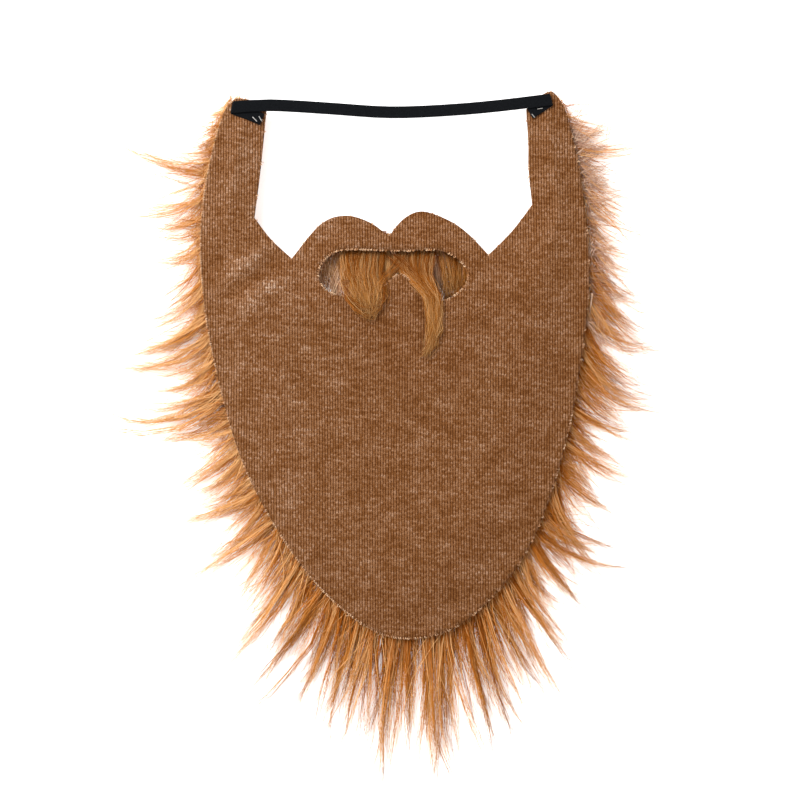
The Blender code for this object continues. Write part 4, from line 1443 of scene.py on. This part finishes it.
def mouth_hair(material):
    """Hair from above the mouth, through the hole and over the cloth."""
    luck = random.Random(23)
    guides = []
    for fan in MOUTH_FANS:
        guides += fan_guides(luck, *fan)
    for rows in LIP_ARCHES:
        lines = []
        for i, (x, y, lift) in enumerate(rows):
            along = i / (len(rows) - 1)
            lines.append((x, y, cloth_height(x, y) + lift, 1.8 * (1 - 0.5 * along), 0.7, along))
        guides.append((lines, ARCH_STRANDS, ARCH_SHADE))
    return grown("mouth_hair", guides, material, "long_pile", Clumps=6, Clumping=0.3, Frizz=0.015,
                 Frizz_size=110.0, Untidiness=0.12, Length_variation=0.5, Tone_variation=1.5,
                 Root_radius=0.00008, Tip_radius=0.00004, Seed=7)


def edge_yarn(material):
    """Loops of ground yarn that the knife left open along the cut edges, with a spur here and there."""
    luck = random.Random(5)
    guides = []
    mouth_line = smooth_line(MOUTH_EDGE, EDGE_LOOP_STEP, closed=True)
    for line, outwards in ((cloth_outline(EDGE_LOOP_STEP), 1.0), (mouth_line, -1.0)):
        for i, (x, y, pile) in enumerate(line):
            run = (Vector(line[(i + 1) % len(line)][:2]) - Vector((x, y))).normalized()
            out = Vector((run.y, -run.x)) * outwards
            # Most loops show at the mouth, few on the inner edges, and fewer towards the right
            share = 0.85
            if outwards > 0:
                share = 0.25 if pile < 0 else 0.9 - 0.6 * smoothstep(x / 60.0)
            share *= 0.9 + 0.8 * noise.noise(Vector((x / 14.0, y / 14.0, 3.0)))
            if luck.random() > share:
                continue
            middle = Vector((x, y)) + run * luck.uniform(-0.3, 0.3)
            bulge = luck.uniform(0.15, 0.55)
            top = cloth_height(x, y) + CLOTH_THICKNESS
            rows = [(middle - out * 0.55 - run * 0.4, top + 0.05),
                    (middle + out * bulge * 0.6 - run * 0.35, top - 0.05),
                    (middle + out * bulge + run * 0.1, top - 0.35),
                    (middle - out * 0.3 + run * 0.45, top - 0.1)]
            if luck.random() < SPUR_SHARE:
                spur = out * luck.uniform(0.5, 1.8) + run * luck.uniform(-1.2, 1.2)
                rows[-1] = (middle + out * bulge + spur, top - luck.uniform(0.2, 1.2))
            lines = [(spot.x, spot.y, z, 0.04, 0.04, 0.0) for spot, z in rows]
            guides.append((lines, 2, luck.uniform(0.1, 1.0)))
    return grown("edge_yarn", guides, material, "knitted_cloth", Clumps=1, Clumping=0.0, Frizz=0.0006,
                 Frizz_size=700.0, Length_variation=0.0, Tone_variation=0.0,
                 Root_radius=0.0002, Tip_radius=0.00015, Seed=5)


def stray_hairs(material):
    """Single hairs that stand away from the rest, and the dark fibre on the cloth."""
    guides = []
    for number, rows in enumerate(STRAYS):
        line = smooth_line(rows, 9.0)
        lines = [(x, y, z, 0.3, 0.3, i / (len(line) - 1)) for i, (x, y, z) in enumerate(line)]
        guides.append((lines, 1, 0.2 + 0.07 * (number % 5)))
    fibre = [(x, y, cloth_height(x, y) + CLOTH_THICKNESS + 0.2, 0.1, 0.1, 0.0) for x, y in DARK_FIBRE]
    guides.append((fibre, 3, 2.0))
    return grown("stray_hairs", guides, material, "long_pile", Clumps=1, Clumping=0.0, Frizz=0.004,
                 Frizz_size=30.0, Length_variation=0.0, Root_radius=0.00009, Tip_radius=0.00003, Seed=3)


def dress():
    """Make every piece, and hide the plain solids that they stand for."""
    cloth = knit_cloth(knit_finish())
    undercoat = pile_undercoat(undercoat_finish())
    pile = hair_finish("pile_hair")
    # A paler, greyer hair for the fluff beside the right arm
    pale_greyish = hair_finish("pale_greyish_hair", lightness=1.1, saturation=0.6)
    hair = [
        fringe("fringe_left", 0.0, LEFT_FRINGE_END, clumping=0.7, seed=11, material=pile),
        fringe("fringe_chin", LEFT_FRINGE_END, CHIN_FRINGE_END, clumping=0.85, seed=12, material=pile),
        fringe("fringe_right", CHIN_FRINGE_END, OUTER_LENGTH, clumping=0.72, seed=13, material=pile),
        pile_nap(pile),
        mouth_hair(hair_finish("mouth_pile_hair", lightness=0.75, reach=0.72)),
        mouth_veil(hair_finish("shaded_hair", saturation=0.75)),
        fluff("sideburn_fluff", 512.0, OUTER_LENGTH - 16.0, count=165, reaches=(8.0, 25.0),
              straying=70.0, seed=31, material=pale_greyish),
        fluff("edge_fluff", 16.0, 130.0, count=80, reaches=(3.0, 10.0),
              straying=60.0, seed=32, material=pile),
        fluff("root_fluff", 130.0, 540.0, count=240, reaches=(8.0, 24.0),
              straying=14.0, seed=33, material=pile),
        stray_hairs(pile),
    ]
    yarn = edge_yarn(edge_yarn_finish())
    band = elastic_band(elastic_finish())
    wire = wire_finish()
    for name in ("staple_left", "staple_right"):
        for slot in bpy.data.objects[name].material_slots:
            slot.material = wire
    for piece in (cloth, undercoat, yarn, band, *hair):
        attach(piece, "root")
    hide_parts("knit_backing")
    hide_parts("knit_backing")
    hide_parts("fur_pile")
    for piece in hair:
        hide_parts("fur_pile")
    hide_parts("elastic_strap")


def key_softbox():
    """A large soft lamp above the upper left, aimed at the beard."""
    light = bpy.data.lights.new("key_softbox", "AREA")
    light.shape = "SQUARE"
    light.size = KEY_SIZE
    light.energy = KEY_POWER
    lamp = bpy.data.objects.new("key_softbox", light)
    lamp.location = KEY_PLACE
    lamp.rotation_euler = (-Vector(KEY_PLACE)).to_track_quat("-Z", "Y").to_euler()
    bpy.context.scene.collection.objects.link(lamp)


def studio():
    """White paper floor, soft light all round and a camera that looks straight down."""
    scene = bpy.context.scene
    scene.view_settings.view_transform = "Standard"
    bpy.ops.mesh.primitive_grid_add(x_subdivisions=4, y_subdivisions=4, size=FLOOR_SIZE)
    paper = bpy.context.object
    paper.name = "floor_paper"
    paper.data.materials.append(floor_finish())
    world = bpy.data.worlds.new("studio")
    world.use_nodes = True
    background = world.node_tree.nodes["Background"]
    background.inputs["Color"].default_value = SKY_COLOUR
    background.inputs["Strength"].default_value = SKY_STRENGTH
    scene.world = world
    key_softbox()
    lens = bpy.data.cameras.new("camera")
    lens.lens = LENS
    lens.sensor_width = SENSOR
    lens.clip_end = 20.0
    camera = bpy.data.objects.new("camera", lens)
    distance = VIEW_WIDTH * LENS / SENSOR
    camera.location = place(VIEW_MIDDLE_X, 0.0, MIDDLE_HEIGHT + distance)
    scene.collection.objects.link(camera)
    scene.camera = camera


studio()
dress()
